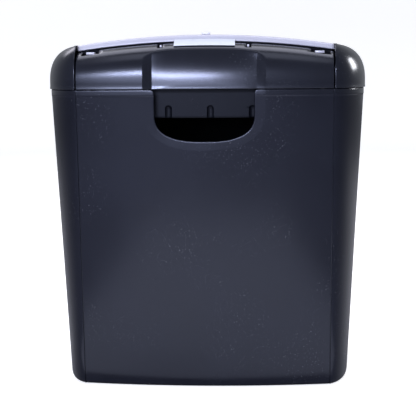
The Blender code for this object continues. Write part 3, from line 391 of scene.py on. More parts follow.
def front_rings(heights):
    """The cut-out's edge and the outer border of its slope, sampled alike."""
    details = heights[: len(RIM_PROFILE)]
    count = 2 * (len(heights) - len(details)) + PANEL_STEPS + 1
    inner = even_u(GRIP, details[-1], count)
    outer = even_u(RECESS, details[-1], count)
    left_in, left_out = [], []
    for z in details[:-1]:
        lift = max(0.0, z - (RIM - TOP_CORNER))
        flare = TOP_CORNER - math.sqrt(max(0.0, TOP_CORNER**2 - lift**2))
        left_in.append((-(GRIP[0] + flare), z))
        left_out.append((-RECESS[0], z))
    mirror = np.array([-1, 1])
    left_in, left_out = np.array(left_in), np.array(left_out)
    inner = np.concatenate([left_in, inner, left_in[::-1] * mirror])
    outer = np.concatenate([left_out, outer, left_out[::-1] * mirror])
    return inner, outer


def panel_layers(inner, outer, border):
    """Layers of the front panel as (points, depth): the edge that turns in, the slope, the panel."""
    count = len(inner)
    lip = 0.0009  # rounding of the cut-out's edge
    lip_share = 0.09  # the part of the slope that the rounding takes
    layers = [(inner, np.full(count, SCOOP_DEPTH + 2.4 * lip))]
    for angle in (0, 22, 45, 68):
        turn = math.radians(angle)
        share = (1 - math.cos(turn)) * lip_share
        depth = SCOOP_DEPTH * slope_rule(1 - share) + lip * (1 - math.sin(turn))
        layers.append((inner + (outer - inner) * share, np.full(count, depth)))
    for share in (lip_share, 0.18, 0.28, 0.38, 0.48, 0.56, 0.64, 0.71, 0.77, 0.83, 0.88, 0.92, 0.96, 1.0):
        depth = SCOOP_DEPTH * slope_rule(1 - share)
        layers.append((inner + (outer - inner) * share, np.full(count, depth)))
    for share in np.linspace(0, 1, 26)[1:] ** 1.25:
        layers.append((outer + (border - outer) * share, np.zeros(count)))
    return layers


def slope_rule(u, fillet=0.10):
    """A ramp from 0 to 1 that is rounded at its foot only."""
    rounded = u * u / (2 * fillet) if u < fillet else u - fillet / 2
    return rounded / (1 - fillet / 2)


# ---------------------------------------------------------------- casing of the head
# The lower lip: (height above the head's lower edge, inset)
LIP_PROFILE = [
    (0.0, 0.0006), (0.0002, 0.0002), (0.0005, 0.0), (0.0009, 0.00003), (0.0014, 0.00009),
    (0.0020, 0.00017), (0.0026, 0.00022), (0.0034, 0.00025), (0.0046, 0.00025), (0.0060, 0.00025),
]
BEAD = LIP_PROFILE[-1][1]
SUPER_STEPS = 64


def super_steps(exponent):
    """Cosine and sine shares along a quarter of a superellipse."""
    angle = np.linspace(0, math.pi / 2, SUPER_STEPS + 1)
    cosine = np.cos(angle)
    cosine[-1] = 0.0
    return cosine ** (2 / exponent), np.sin(angle) ** (2 / exponent)


def seam_flare(z):
    """Share by which the cover's columns lean out at a height."""
    top = arch(SEAM_X + SEAM_FLARE)
    rise = np.clip((z - HEAD_SHOULDER) / (top - HEAD_SHOULDER), 0, 1)
    return SEAM_FLARE / SEAM_X * (1 - (1 - rise**CAP_EXPONENT) ** (1 / CAP_EXPONENT))


def cover_profile(x, back):
    """(depth, height) down the cover's front or back at x, from the lower lip to the trough."""
    bow = FRONT_BOW * (BACK_BOW_SHARE if back else 1.0)
    wall = HEAD_HALF_DEPTH - FRONT_BOW + bow * (1 - (x / SEAM_X) ** 2)
    edge = shoulder_edge(x)
    crest = arch(x) - SHOULDER_DROP
    points = [(wall - inset, HEAD_BOTTOM + rise) for rise, inset in LIP_PROFILE]
    cosines, sines = super_steps(CASE_EXPONENT)
    for c, s in zip(cosines[1:], sines[1:]):
        points.append((edge + (wall - BEAD - edge) * c, HEAD_SHOULDER + (crest - HEAD_SHOULDER) * s))
    deck = arch(x) - DECK_DROP
    points += [  # over the shoulder, down into the trough and up to the deck
        (edge - 0.0004, crest - 0.0001), (edge - 0.0007, crest - 0.0005), (edge - 0.0008, crest - 0.0030),
        (edge - 0.0034, crest - 0.0030), (edge - 0.0036, deck - 0.0002), (edge - 0.0039, deck),
    ]
    return points


CREST_FLAT = 0.022  # half width of the level stretch of the recess's arched top
CREST_TURN = 0.037  # width of each turned-down end beside it
CREST_DROP = 0.0128  # its drop under the top plate's crown line
CREST_FALL = 0.0085  # and its extra fall at the ends
CREASE_ROUND = 0.0010
RECESS_HEIGHT = 0.034  # distance below the crease at which the floor's depth is down to RECESS_FOOT
RECESS_START = 0.0080  # distance below the crease over which the floor sinks in


def recess_depth(x, z):
    """Depth of the grip recess in the cover's front: it starts with a crease at its arched top,
    its side walls are straight slopes with a crisp foot, and its floor comes forward towards
    the lip."""
    beyond = min(max(abs(x) - CREST_FLAT, 0.0) / CREST_TURN, 1.0)
    top = arch(x) - CREST_DROP - CREST_FALL * (1 - math.sqrt(1 - beyond**2))
    below = max(top - z, 0.0)
    below *= below / (below + CREASE_ROUND)
    across = min(max((RECESS[0] - abs(x)) / (RECESS[0] - RECESS_FLOOR), 0.0), 1.0)
    deepest = RECESS_FOOT + (RECESS_DEPTH - RECESS_FOOT) * max(0.0, 1 - below / RECESS_HEIGHT)
    return deepest * across * (1 - math.exp(-below / RECESS_START))


CLIPS = [  # (place along the lip, half width of its window, half width of the clip)
    (-0.1095, 0.0084, 0.0040), (-0.0415, 0.0026, 0.0010), (0.0415, 0.0026, 0.0010), (0.1095, 0.0095, 0.0045),
]
WINDOW_REACH = (0.0010, 0.0160)  # the windows lie this far in front of the shoulder's edge
VENTS = [0.040 + 0.007 * i for i in range(6)]
VENT_HALF_WIDTH = 0.0014
VENT_HEIGHTS = (0.301, 0.316)


def slot_edges():
    """The openings for the paper throat and the switch's stem, as (x range, y range)."""
    low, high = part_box("paper_throat")
    play = 0.0003
    _, middle = middle_of("mode_switch_knob")
    return [
        ((low.x - play, high.x + play), (low.y - play, high.y + play)),
        ((-0.0085, 0.0085), (middle - 0.003, middle + 0.003)),
    ]


SLOTS = slot_edges()


def in_slots(x, y):
    return any(a < x < b and c < y < d for (a, b), (c, d) in SLOTS)


def cover_columns():
    """Columns across the cover, closest where the recess's walls are."""
    edge = SEAM_X - 0.0008
    spans = [(0.0, 0.044, 12), (0.044, 0.062, 30), (0.062, edge, 14), (edge, SEAM_X, 3)]
    half = [x for low, high, count in spans for x in np.linspace(low, high, count + 1)[:-1]] + [SEAM_X]
    columns = [-x for x in half[1:]] + half
    columns += [turn * x for x in (RECESS_FLOOR, RECESS[0]) for turn in (-1, 1)]
    columns += [place + turn * window for place, window, _ in CLIPS for turn in (-1, 1)]
    columns += [place + turn * VENT_HALF_WIDTH for place in VENTS for turn in (-1, 1)]
    flare = 1 + SEAM_FLARE / SEAM_X
    columns += [x / flare for xs, _ in SLOTS for x in xs]
    apart = []
    for x in sorted(columns):
        if not apart or x - apart[-1] > 0.00015:
            apart.append(x)
    return apart


def cover_opening(x, y, z):
    """Whether a face of the cover is left out, for the vents, the windows or the deck's slots."""
    if y > 0.07:
        low, high = VENT_HEIGHTS
        return low < z < high and any(abs(x - place) < VENT_HALF_WIDTH for place in VENTS)
    edge = shoulder_edge(x)
    near, far = WINDOW_REACH
    if -(edge + far) < y < -(edge + near):
        return any(abs(x - place) < window for place, window, _ in CLIPS)
    return abs(y) < edge - 0.0040 and in_slots(x, y)


def head_cover():
    """The casing's front, deck and back as one shell, with its clip windows, vents and slots."""
    deck_rows = sorted(y for _, ys in SLOTS for y in ys)
    seam_round = 0.0006
    lines = []
    for x in cover_columns():
        turn_in = seam_round * max(0.0, (abs(x) - (SEAM_X - seam_round)) / seam_round) ** 2
        flares = []
        line = []
        for depth, z in cover_profile(x, back=False):
            flares.append(x * (1 + float(seam_flare(z))))
            line.append((flares[-1], -depth + recess_depth(x, z) + turn_in, z))
        back = [(px, depth - turn_in, z) for px, (depth, z) in zip(flares, cover_profile(x, back=True))]
        deck = [(flares[-1], y, line[-1][2]) for y in deck_rows]
        lines.append(line + deck + back[::-1])
    rows = [list(row) for row in zip(*lines)]
    cover = sheet("head_cover", rows, cover_opening, flip=True, sharp=14)
    for face in cover.data.polygons:  # the trough under the lip is as dull as the inside
        face.material_index = int(abs(face.center.y) < shoulder_edge(face.center.x) - 0.0002)
    thicken(cover, WALL, (CASING, LINING))
    finish_piece(cover, None, "head", "black_casing", "head_cover")


CAP_STEPS = 56
CAP_GAP = 0.0016  # from the seam's middle to the cap's first station


def cap_plan():
    """Stations along the cap's rounded end, and the normals there."""
    centre, a, b = end_ellipse(HEAD_HALF_WIDTH, HEAD_HALF_DEPTH, FRONT_BOW, SEAM_X)
    start = math.acos((SEAM_X + CAP_GAP - centre) / a)
    plan = []
    for v in np.linspace(-1, 1, CAP_STEPS + 1):
        angle = start * math.sin(math.pi / 2 * v)
        plan.append((centre + a * math.cos(angle), b * math.sin(angle)))
    plan = np.array(plan)
    normals = np.stack([np.gradient(plan[:, 1]), -np.gradient(plan[:, 0])], 1)
    return plan, normals / np.linalg.norm(normals, axis=1)[:, None]


def end_cap(side, name):
    """A rounded end of the head's casing. Its edges turn in beside the top plate, and along the
    two seams."""
    plan, normals = cap_plan()
    top_half = PLATE_HALF_DEPTH - PLATE_BOW
    seam_top = SEAM_X + SEAM_FLARE + 0.0004
    top = arch(seam_top) + 0.0001
    rows = []
    for rise, inset in LIP_PROFILE:
        rows.append([(x, y, HEAD_BOTTOM + rise) for x, y in plan - normals * inset])
    base = plan - normals * BEAD
    cosines, sines = super_steps(CAP_EXPONENT)
    for c, s in zip(cosines[1:], sines[1:]):
        z = HEAD_SHOULDER + (top - HEAD_SHOULDER) * s
        row = []
        for k, (x, y) in enumerate(base):
            inner_y = top_half * math.sin(math.pi * (k / CAP_STEPS - 0.5))
            row.append((seam_top + (x - seam_top) * c, inner_y + (y - inner_y) * c, z))
        rows.append(row)
    for drop in (0.0003, 0.0020):
        rows.append([(x - 0.0002, y, z - drop) for x, y, z in rows[-1]])
    facing = [(1.0, 0.0)] * len(LIP_PROFILE) + list(zip(cosines[1:], sines[1:]))
    facing += [facing[-1]] * 2
    for row, (level, upward) in zip(rows, facing):
        first, last = row[0], row[-1]
        for across, deep in ((0.0003, 0.00008), (0.0005, 0.0004), (0.0006, 0.0018)):
            row.insert(0, (first[0] - across, first[1] + deep * level, first[2] - deep * upward))
            row.append((last[0] - across, last[1] - deep * level, last[2] - deep * upward))
    verts = [(side * x, y, z) for row in rows for x, y, z in row]
    faces = grid_faces(len(rows), len(rows[0]))
    if side > 0:
        faces = [f[::-1] for f in faces]
    cap = thicken(mesh_object(name, verts, faces), CAP_WALL)
    for vertex in cap.data.vertices:  # the wall pokes out above the cap's two top corners
        vertex.co.z = min(vertex.co.z, top)
    finish_piece(cap, CASING, "head", "black_casing", name)


# The top plate's lip: its rounded slope, as (inset, share of its drop) up from its lower edge
LIP_SLOPE = [(0.0, 1.0), (0.0008, 0.845), (0.0014, 0.62), (0.0020, 0.38), (0.0030, 0.17), (0.0046, 0.05)]
LIP_END = 0.0070  # inset where the plate is level again


def top_plate():
    """The arched plate with its two lips and slots, and the clips that hold it in the cover."""
    columns = list(PLATE_HALF_LENGTH * np.linspace(-1, 1, 81))
    columns = sorted(columns + [x for xs, _ in SLOTS for x in xs])
    columns = [x for x in columns if abs(x) <= PLATE_HALF_LENGTH]
    slot_rows = sorted(y for _, ys in SLOTS for y in ys)

    def edge_of(x):
        return PLATE_HALF_DEPTH - PLATE_BOW * (x / PLATE_HALF_LENGTH) ** 2

    def lip_of(x):
        return 0.0054 - 0.0006 * (x / PLATE_HALF_LENGTH) ** 2

    def edge_rows(sign):
        return [[(x, sign * (edge_of(x) - inset), arch(x) - share * lip_of(x)) for x in columns]
                for inset, share in LIP_SLOPE + [(LIP_END, 0.0)]]

    def rows_between(sign, slot_row):
        """Rows from the lip on one side to the nearest edge of a slot."""
        between = []
        for share in np.linspace(0, 1, 9)[1:-1]:
            depths = [sign * (edge_of(x) - LIP_END) * (1 - share) + slot_row * share for x in columns]
            between.append([(x, y, arch(x)) for x, y in zip(columns, depths)])
        return between

    rows = edge_rows(-1) + rows_between(-1, slot_rows[0])
    rows += [[(x, y, arch(x)) for x in columns] for y in slot_rows]
    rows += rows_between(1, slot_rows[-1])[::-1] + edge_rows(1)[::-1]
    plate = sheet("top_plate", rows, lambda x, y, z: abs(y) < 0.05 and in_slots(x, y), flip=True)
    thicken(plate, PLATE_WALL)
    finish_piece(plate, SILVER, "head", "silver_plate", "top_plate")
    for i, (x, _, half) in enumerate(CLIPS):
        crest = arch(x) - SHOULDER_DROP
        near, far = -edge_of(x) - 0.0050, -edge_of(x) - 0.0125
        low, high = (x - half, far, crest - 0.0036), (x + half, near, crest - 0.0012)
        clip = block(f"plate_clip_{i + 1}", low, high, 0.0004, 2)
        finish_piece(clip, SILVER, "head", "silver_plate")


def nameplate():
    """Blank plate that leans on the shoulder, from the lip down to just above the recess."""
    half_width = 0.0290
    rows = []
    for share in np.linspace(0, 1, 13):
        row = []
        for x in np.linspace(-half_width, half_width, 25):
            y = -(plate_edge(x) + 0.0005 + 0.0168 * share)
            z = arch(x) - 0.0042 - 0.0060 * share + 0.0008 * math.sin(math.pi * share)
            row.append((x, y, z))
        rows.append(row)
    plate = thicken(sheet("nameplate", rows), NAMEPLATE_WALL)
    bevel(plate, 0.00025, 2)
    finish_piece(plate, LABEL, "head", "label", "nameplate")


# ---------------------------------------------------------------- head base
FLANGE_TOP = HEAD_BOTTOM + 0.0020
FLANGE_REACH = 0.0095  # the flange stands this far out of the skirt
NOTCH = (0.0605, 0.0832)  # half width of the flange's notch, and how far forward it still reaches
BASE_HALF = (0.147, 0.080)
BASE_BOW = 0.005
BASE_SEAM = BASE_HALF[0] - 0.030  # where the skirt's bowed front meets its rounded ends
BASE_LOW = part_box("head_base")[0].z
FLUTES = [0.040 * i + 0.0054 for i in range(-2, 3)]
FLUTE_RADIUS = 0.0032
FLUTE_DEPTH = 0.0024
FLUTE_HEIGHT = 0.0085  # from the skirt's lower edge to the middle of the flute's arch


def flute_depth(x, z):
    deepest = 0.0
    for centre in FLUTES:
        away = math.hypot(x - centre, max(0.0, z - (BASE_LOW + FLUTE_HEIGHT)))
        if away < FLUTE_RADIUS:
            deepest = max(deepest, FLUTE_DEPTH * math.sqrt(1 - (away / FLUTE_RADIUS) ** 2))
    return deepest


def base_ring(z, front):
    """Stations round the skirt at a height; front holds the x of those on its front."""
    edge_round = 0.0012
    taper = 0.001 * (FLANGE_TOP - z) / (FLANGE_TOP - BASE_LOW)
    round_in = 0.0006 * max(0.0, 1 - (z - BASE_LOW) / edge_round)
    width, depth = (half - taper - round_in for half in BASE_HALF)
    centre, a, b = end_ellipse(width, depth, BASE_BOW, BASE_SEAM)
    start = math.acos((BASE_SEAM + 0.0002 - centre) / a)
    ends = [start * math.sin(math.pi / 2 * v) for v in np.linspace(-1, 1, 25)]
    back = np.linspace(BASE_SEAM, -BASE_SEAM, 41)
    ring = [(x, -(depth - BASE_BOW * (x / BASE_SEAM) ** 2) + flute_depth(x, z), z) for x in front]
    ring += [(centre + a * math.cos(e), b * math.sin(e), z) for e in ends]
    ring += [(x, depth - BASE_BOW * (x / BASE_SEAM) ** 2, z) for x in back]
    ring += [(-centre - a * math.cos(e), -b * math.sin(e), z) for e in ends]
    return ring


def base_flange(ring):
    """The flange's border under the casing, notched behind the grip recess."""
    flange = []
    for x, y, _ in ring:
        reach = 1 + FLANGE_REACH / math.hypot(x, y)
        out_y = y * reach
        if abs(x) < NOTCH[0]:
            out_y = max(out_y, -NOTCH[1])
        flange.append((x * reach, out_y, FLANGE_TOP - 0.0022))
    return flange


def head_base():
    """Open tray under the casing: a flange, a skirt that fits in the basket, and a slotted floor."""
    front = [np.linspace(-BASE_SEAM, BASE_SEAM, 70)]
    front += [centre + 0.0034 * np.linspace(-1, 1, 15) for centre in FLUTES]
    front = sorted(set(np.round(np.concatenate(front), 6)))
    front = [x for x in front if abs(x) <= BASE_SEAM]
    heights = [FLANGE_TOP - 0.0022] + list(np.linspace(FLANGE_TOP - 0.004, BASE_LOW + 0.013, 10))
    heights += list(np.linspace(BASE_LOW + 0.012, BASE_LOW + 0.0012, 14))
    heights += [BASE_LOW + 0.0005, BASE_LOW + 0.0001]
    rows = [base_ring(z, front) for z in heights]
    rows.insert(0, base_flange(rows[0]))
    verts = [p for row in rows for p in row]
    count = len(rows[0])
    faces = grid_faces(len(rows), count, closed=True)
    faces.append(tuple((len(rows) - 1) * count + j for j in range(count))[::-1])
    base = thicken(mesh_object("head_base", verts, faces), BASE_WALL)
    tools = [block("cutter", (-0.114, -0.030, BASE_LOW - 0.01), (0.100, 0.030, BASE_LOW + 0.01), 0.003, 4)]
    tools.append(upright_rod("cutter", (*middle_of("interlock_plunger"), FLANGE_TOP), 0.0027, 0.02))
    for node in [f"cover_screw_{i}" for i in range(1, 5)] + ["cap_screw_left", "cap_screw_right"]:
        tools.append(upright_rod("cutter", (*middle_of(node), FLANGE_TOP), SCREW_HOLE_RADIUS, 0.02))
    cut(base, tools)
    finish_piece(base, INNER, "head", "black_inner", "head_base")


# ---------------------------------------------------------------- paper throat and controls
def paper_throat():
    """A funnel from the slot down to the cutters, with a rolled lip on the top plate."""
    low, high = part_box("paper_throat")
    columns = np.linspace(low.x + THROAT_WALL, high.x - THROAT_WALL, 61)
    half_top, half_bottom = high.y - THROAT_WALL, 0.0030

    def loop(grow, half, z_of):
        """A closed loop round the funnel, grown out of its inner wall, with narrow ends."""
        ends = 0.0030
        front = []
        for x in columns:
            near_end = min(x - columns[0], columns[-1] - x)
            narrow = 1.0 if near_end > ends else 0.55 + 0.45 * math.sqrt(1 - (1 - near_end / ends) ** 2)
            shift = 0.0
            if x == columns[0]:
                shift = -grow
            if x == columns[-1]:
                shift = grow
            front.append((x + shift, -(half * narrow + grow), z_of(x)))
        return front + [(x, -y, z) for x, y, z in reversed(front)]

    def top(drop):
        return lambda x: arch(x) + 0.0006 - drop

    def foot(x):
        return low.z

    loops = [loop(0.0014, half_bottom, foot)]
    # Up the outside, over the rolled lip and down inside, as (growth, drop below the lip's top)
    for grow, drop in (
        (0.0014, 0.0012), (0.0013, 0.0005), (0.0010, 0.0001), (0.0006, 0.0),
        (0.0003, 0.0002), (0.0, 0.0008), (-0.0004, 0.0030),
    ):
        loops.append(loop(grow, half_top, top(drop)))
    loops += [loop(0.0, (half_top + half_bottom) / 2, top(0.015)), loop(0.0, half_bottom, foot)]
    verts = [p for row in loops for p in row]
    count = len(loops[0])
    last = (len(loops) - 1) * count
    faces = grid_faces(len(loops), count, closed=True)
    faces += [(last + j, j, (j + 1) % count, last + (j + 1) % count) for j in range(count)]
    throat = mesh_object("paper_throat", verts, [f[::-1] for f in faces])
    lever_low, lever_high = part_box("paper_sensor_lever")
    slot_low = (lever_low.x - 0.0011, -0.0085, low.z - 0.001)
    slot_high = (lever_high.x + 0.0011, 0.0036, 0.3265)
    cut(throat, [block("cutter", slot_low, slot_high, 0.0003, 1)])
    finish_piece(throat, INNER, "head", "black_inner", "paper_throat")


def mode_knob():
    """The switch's ribbed knob on the plate, and its stem through the slot."""
    low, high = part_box("mode_switch_knob")
    _, middle = middle_of("mode_switch_knob")
    side = 0.0008  # the knob is narrower than the design's by this much at each end
    foot = arch(0) + 0.0003
    knob = block("mode_switch_knob", (low.x + side, low.y, foot), (high.x - side, high.y, high.z), 0.0022, 7)
    grooves = []
    for i in range(-2, 3):
        x = 0.0016 * i
        groove_low = (x - 0.0003, low.y + 0.0008, high.z - 0.0005)
        groove_high = (x + 0.0003, high.y - 0.0008, high.z + 0.001)
        grooves.append(block("cutter", groove_low, groove_high))
    cut(knob, grooves)
    finish_piece(knob, KNOB, "mode_knob", "knob", "mode_switch_knob")
    stem_low, stem_high = (-0.002, middle - 0.002, low.z), (0.002, middle + 0.002, foot + 0.0004)
    stem = block("knob_stem", stem_low, stem_high, 0.0003, 2)
    finish_piece(stem, KNOB, "mode_knob", "knob")


# ---------------------------------------------------------------- materials
def new_material(name, base, roughness, metallic=0.0, specular=0.5):
    material = bpy.data.materials.new(name)
    material.use_nodes = True
    nodes = material.node_tree.nodes
    shader = nodes["Principled BSDF"]
    shader.inputs["Base Color"].default_value = (*base, 1)
    shader.inputs["Roughness"].default_value = roughness
    shader.inputs["Metallic"].default_value = metallic
    shader.inputs["Specular IOR Level"].default_value = specular
    return material, shader


class Nodes:
    """Short ways to make and link a material's nodes."""

    def __init__(self, material, shader):
        self.tree = material.node_tree
        self.shader = shader
        coordinates = self.add("ShaderNodeTexCoord")
        self.place = coordinates.outputs["Object"]

    def add(self, kind, **values):
        node = self.tree.nodes.new(kind)
        for key, value in values.items():
            setattr(node, key, value)
        return node

    def link(self, source, target):
        self.tree.links.new(source, target)

    def noise(self, scale, detail=2.0, roughness=0.5, stretch=None):
        node = self.add("ShaderNodeTexNoise")
        node.inputs["Scale"].default_value = scale
        node.inputs["Detail"].default_value = detail
        node.inputs["Roughness"].default_value = roughness
        source = self.place
        if stretch:
            mapping = self.add("ShaderNodeMapping")
            mapping.inputs["Scale"].default_value = stretch
            self.link(source, mapping.inputs["Vector"])
            source = mapping.outputs["Vector"]
        self.link(source, node.inputs["Vector"])
        return node.outputs["Fac"]

    def ramp(self, source, low, high, low_value, high_value):
        node = self.add("ShaderNodeMapRange")
        node.inputs["From Min"].default_value = low
        node.inputs["From Max"].default_value = high
        node.inputs["To Min"].default_value = low_value
        node.inputs["To Max"].default_value = high_value
        self.link(source, node.inputs["Value"])
        return node.outputs["Result"]

    def mix(self, factor, first, second):
        node = self.add("ShaderNodeMix", data_type="RGBA")
        for socket, value in ((node.inputs[6], first), (node.inputs[7], second)):
            if isinstance(value, tuple):
                socket.default_value = (*value, 1)
            else:
                self.link(value, socket)
        self.link(factor, node.inputs[0])
        return node.outputs[2]

    def maths(self, operation, first, second):
        node = self.add("ShaderNodeMath", operation=operation)
        for socket, value in ((node.inputs[0], first), (node.inputs[1], second)):
            if isinstance(value, (int, float)):
                socket.default_value = value
            else:
                self.link(value, socket)
        return node.outputs[0]

    def bump(self, height, strength, distance):
        node = self.add("ShaderNodeBump")
        node.inputs["Strength"].default_value = strength
        node.inputs["Distance"].default_value = distance
        self.link(height, node.inputs["Height"])
        self.link(node.outputs["Normal"], self.shader.inputs["Normal"])

    def colour(self, source):
        self.link(source, self.shader.inputs["Base Color"])

    def rough(self, source):
        self.link(source, self.shader.inputs["Roughness"])


DUST = (0.32, 0.33, 0.36)


def moulded_plastic(name, base, roughness, dust=0.22, specular=0.5):
    """Satin moulded plastic: fine grain, slow flow variation, dust specks, faint scuffs, and reflections
    with a painted bluish tint.
    """
    material, shader = new_material(name, base, roughness, specular=specular)
    # Painted reflection colour: the bluish specular tint makes every reflection bluish, as if a bluish room
    # stood round the object.
    shader.inputs["Specular Tint"].default_value = (0.76, 0.81, 1.0, 1)
    n = Nodes(material, shader)
    flow = n.noise(9, 3, 0.6)
    light = tuple(c * 1.25 for c in base)
    dark = tuple(c * 0.85 for c in base)
    tone = n.mix(n.ramp(flow, 0.3, 0.7, 0, 1), dark, light)
    specks = n.noise(900, 0, 0.5)
    patches = n.noise(14, 2, 0.6)
    dusty = n.maths("MULTIPLY", n.ramp(specks, 0.76, 0.80, 0, dust), n.ramp(patches, 0.5, 0.7, 0.0, 1))
    scuff = n.noise(60, 3, 0.7, stretch=(9, 9, 0.6))
    scuffed = n.maths("MULTIPLY", n.ramp(scuff, 0.70, 0.80, 0, 0.10), n.ramp(patches, 0.5, 0.7, 0, 1))
    marks = n.maths("MAXIMUM", dusty, scuffed)
    n.colour(n.mix(marks, tone, DUST))
    satin = n.ramp(flow, 0.3, 0.7, roughness - 0.03, roughness + 0.04)
    n.rough(n.maths("ADD", satin, n.maths("MULTIPLY", marks, 0.25)))
    grain = n.noise(1500, 2, 0.6)
    wave = n.noise(25, 2, 0.5)
    height = n.maths("ADD", n.maths("MULTIPLY", grain, 0.35), n.maths("MULTIPLY", wave, 1.6))
    n.bump(height, 0.25, 0.00012)
    return material


def brushed_metal(name, base, roughness, stretch=(4, 4, 220)):
    """Metal with fine parallel lines; the stretch is largest across them."""
    material, shader = new_material(name, base, roughness, metallic=1.0)
    n = Nodes(material, shader)
    lines = n.noise(18, 4, 0.6, stretch=stretch)
    n.rough(n.ramp(lines, 0.3, 0.7, roughness - 0.08, roughness + 0.12))
    stains = n.noise(60, 3, 0.6)
    n.colour(n.mix(n.ramp(stains, 0.35, 0.7, 0, 1), base, tuple(c * 0.72 for c in base)))
    n.bump(lines, 0.15, 0.0001)
    return material


def speckled(name, base, other, roughness, scale, bump):
    """Base colour with soft spots of the other colour."""
    material, shader = new_material(name, base, roughness)
    n = Nodes(material, shader)
    spots = n.noise(scale, 3, 0.6)
    n.colour(n.mix(n.ramp(spots, 0.4, 0.65, 0, 1), base, other))
    n.rough(n.ramp(spots, 0.3, 0.7, roughness - 0.05, roughness + 0.08))
    n.bump(spots, 0.2, bump)
    return material


def silver_paint():
    """Pale metallic paint: bright flakes in a slightly cloudy coat."""
    material, shader = new_material("silver_paint", (0.47, 0.47, 0.55), 0.38, metallic=0.15)
    n = Nodes(material, shader)
    flakes = n.noise(2600, 1, 0.5)
    cloud = n.noise(12, 2, 0.5)
    tone = n.mix(n.ramp(cloud, 0.3, 0.7, 0, 1), (0.47, 0.47, 0.565), (0.53, 0.53, 0.625))
    n.colour(n.mix(n.ramp(flakes, 0.45, 0.75, 0, 0.3), tone, (0.70, 0.70, 0.78)))
    n.rough(n.ramp(cloud, 0.3, 0.7, 0.34, 0.42))
    n.bump(flakes, 0.08, 0.00005)
    return material


CASING = moulded_plastic("casing_plastic", (0.0050, 0.0056, 0.0100), 0.22)
INNER = moulded_plastic("inner_plastic", (0.0030, 0.0035, 0.0060), 0.42, dust=0.15, specular=0.2)
LINING = moulded_plastic("matte_lining", (0.0035, 0.0040, 0.0060), 0.75, dust=0.1, specular=0.12)
SILVER = silver_paint()
LABEL = speckled("label_film", (0.66, 0.70, 0.77), (0.61, 0.65, 0.72), 0.35, 90, 0.00003)
KNOB = speckled("knob_plastic", (0.78, 0.78, 0.84), (0.70, 0.70, 0.78), 0.25, 200, 0.00003)
STEEL = brushed_metal("machined_steel", (0.52, 0.52, 0.53), 0.30)
ROLLER = brushed_metal("ground_steel", (0.42, 0.42, 0.44), 0.26, stretch=(220, 4, 4))
BRONZE = speckled("oiled_bronze", (0.42, 0.27, 0.12), (0.30, 0.18, 0.08), 0.42, 400, 0.0001)
NYLON = speckled("greased_nylon", (0.70, 0.68, 0.62), (0.60, 0.56, 0.44), 0.42, 60, 0.0001)
BOARD = speckled("circuit_board", (0.035, 0.16, 0.07), (0.05, 0.22, 0.09), 0.40, 300, 0.0001)
BLUE = speckled("blue_sleeve", (0.04, 0.10, 0.30), (0.05, 0.12, 0.36), 0.35, 80, 0.00005)
RUBBER = speckled("gland_rubber", (0.012, 0.012, 0.013), (0.02, 0.02, 0.021), 0.70, 500, 0.0002)

MATERIAL_OF_SLOT = {
    "black_casing": CASING, "black_inner": INNER, "silver_plate": SILVER, "label": LABEL, "knob": KNOB,
    "steel": STEEL, "hardened_steel": ROLLER, "bronze": BRONZE, "copper": BRONZE, "nylon": NYLON,
    "motor_steel": STEEL, "board": BOARD, "blue_part": BLUE, "rubber": RUBBER,
}


def dress_cad_nodes():
    """Gives every CAD node the material of its slot; those that aren't replaced stay in view."""
    for entry in frame["record"]["subparts"]:
        node = frame["nodes"][entry["node"]]
        material = MATERIAL_OF_SLOT[entry["material_slot"]]
        node.data.materials.clear()
        node.data.materials.append(material)


# ---------------------------------------------------------------- studio
def area_light(name, place, target, size, power, colour):
    light = bpy.data.lights.new(name, "AREA")
    light.shape = "RECTANGLE"
    light.size, light.size_y = size
    light.energy = power
    light.color = colour
    lamp = bpy.data.objects.new(name, light)
    lamp.location = place
    lamp.rotation_euler = (Vector(target) - Vector(place)).to_track_quat("-Z", "Y").to_euler()
    bpy.context.scene.collection.objects.link(lamp)


HEAD = (0, 0, 0.31)  # what the lights aim at


def toward(azimuth, elevation, distance):
    """A place seen from the head at an azimuth (0 in front, + to the right) and elevation."""
    azimuth, elevation = math.radians(azimuth), math.radians(elevation)
    out = distance * math.cos(elevation)
    return (out * math.sin(azimuth), -out * math.cos(azimuth), HEAD[2] + distance * math.sin(elevation))


def ground_material(name, colour, glow):
    """Matte, slightly cloudy white or gray that may glow a little."""
    material, shader = new_material(name, colour, 0.85, specular=0.2)
    n = Nodes(material, shader)
    cloud = n.noise(0.8, 2, 0.5)
    n.colour(n.mix(n.ramp(cloud, 0.3, 0.7, 0, 1), tuple(0.98 * c for c in colour), colour))
    shader.inputs["Emission Color"].default_value = (1, 1, 1, 1)
    shader.inputs["Emission Strength"].default_value = glow
    return material


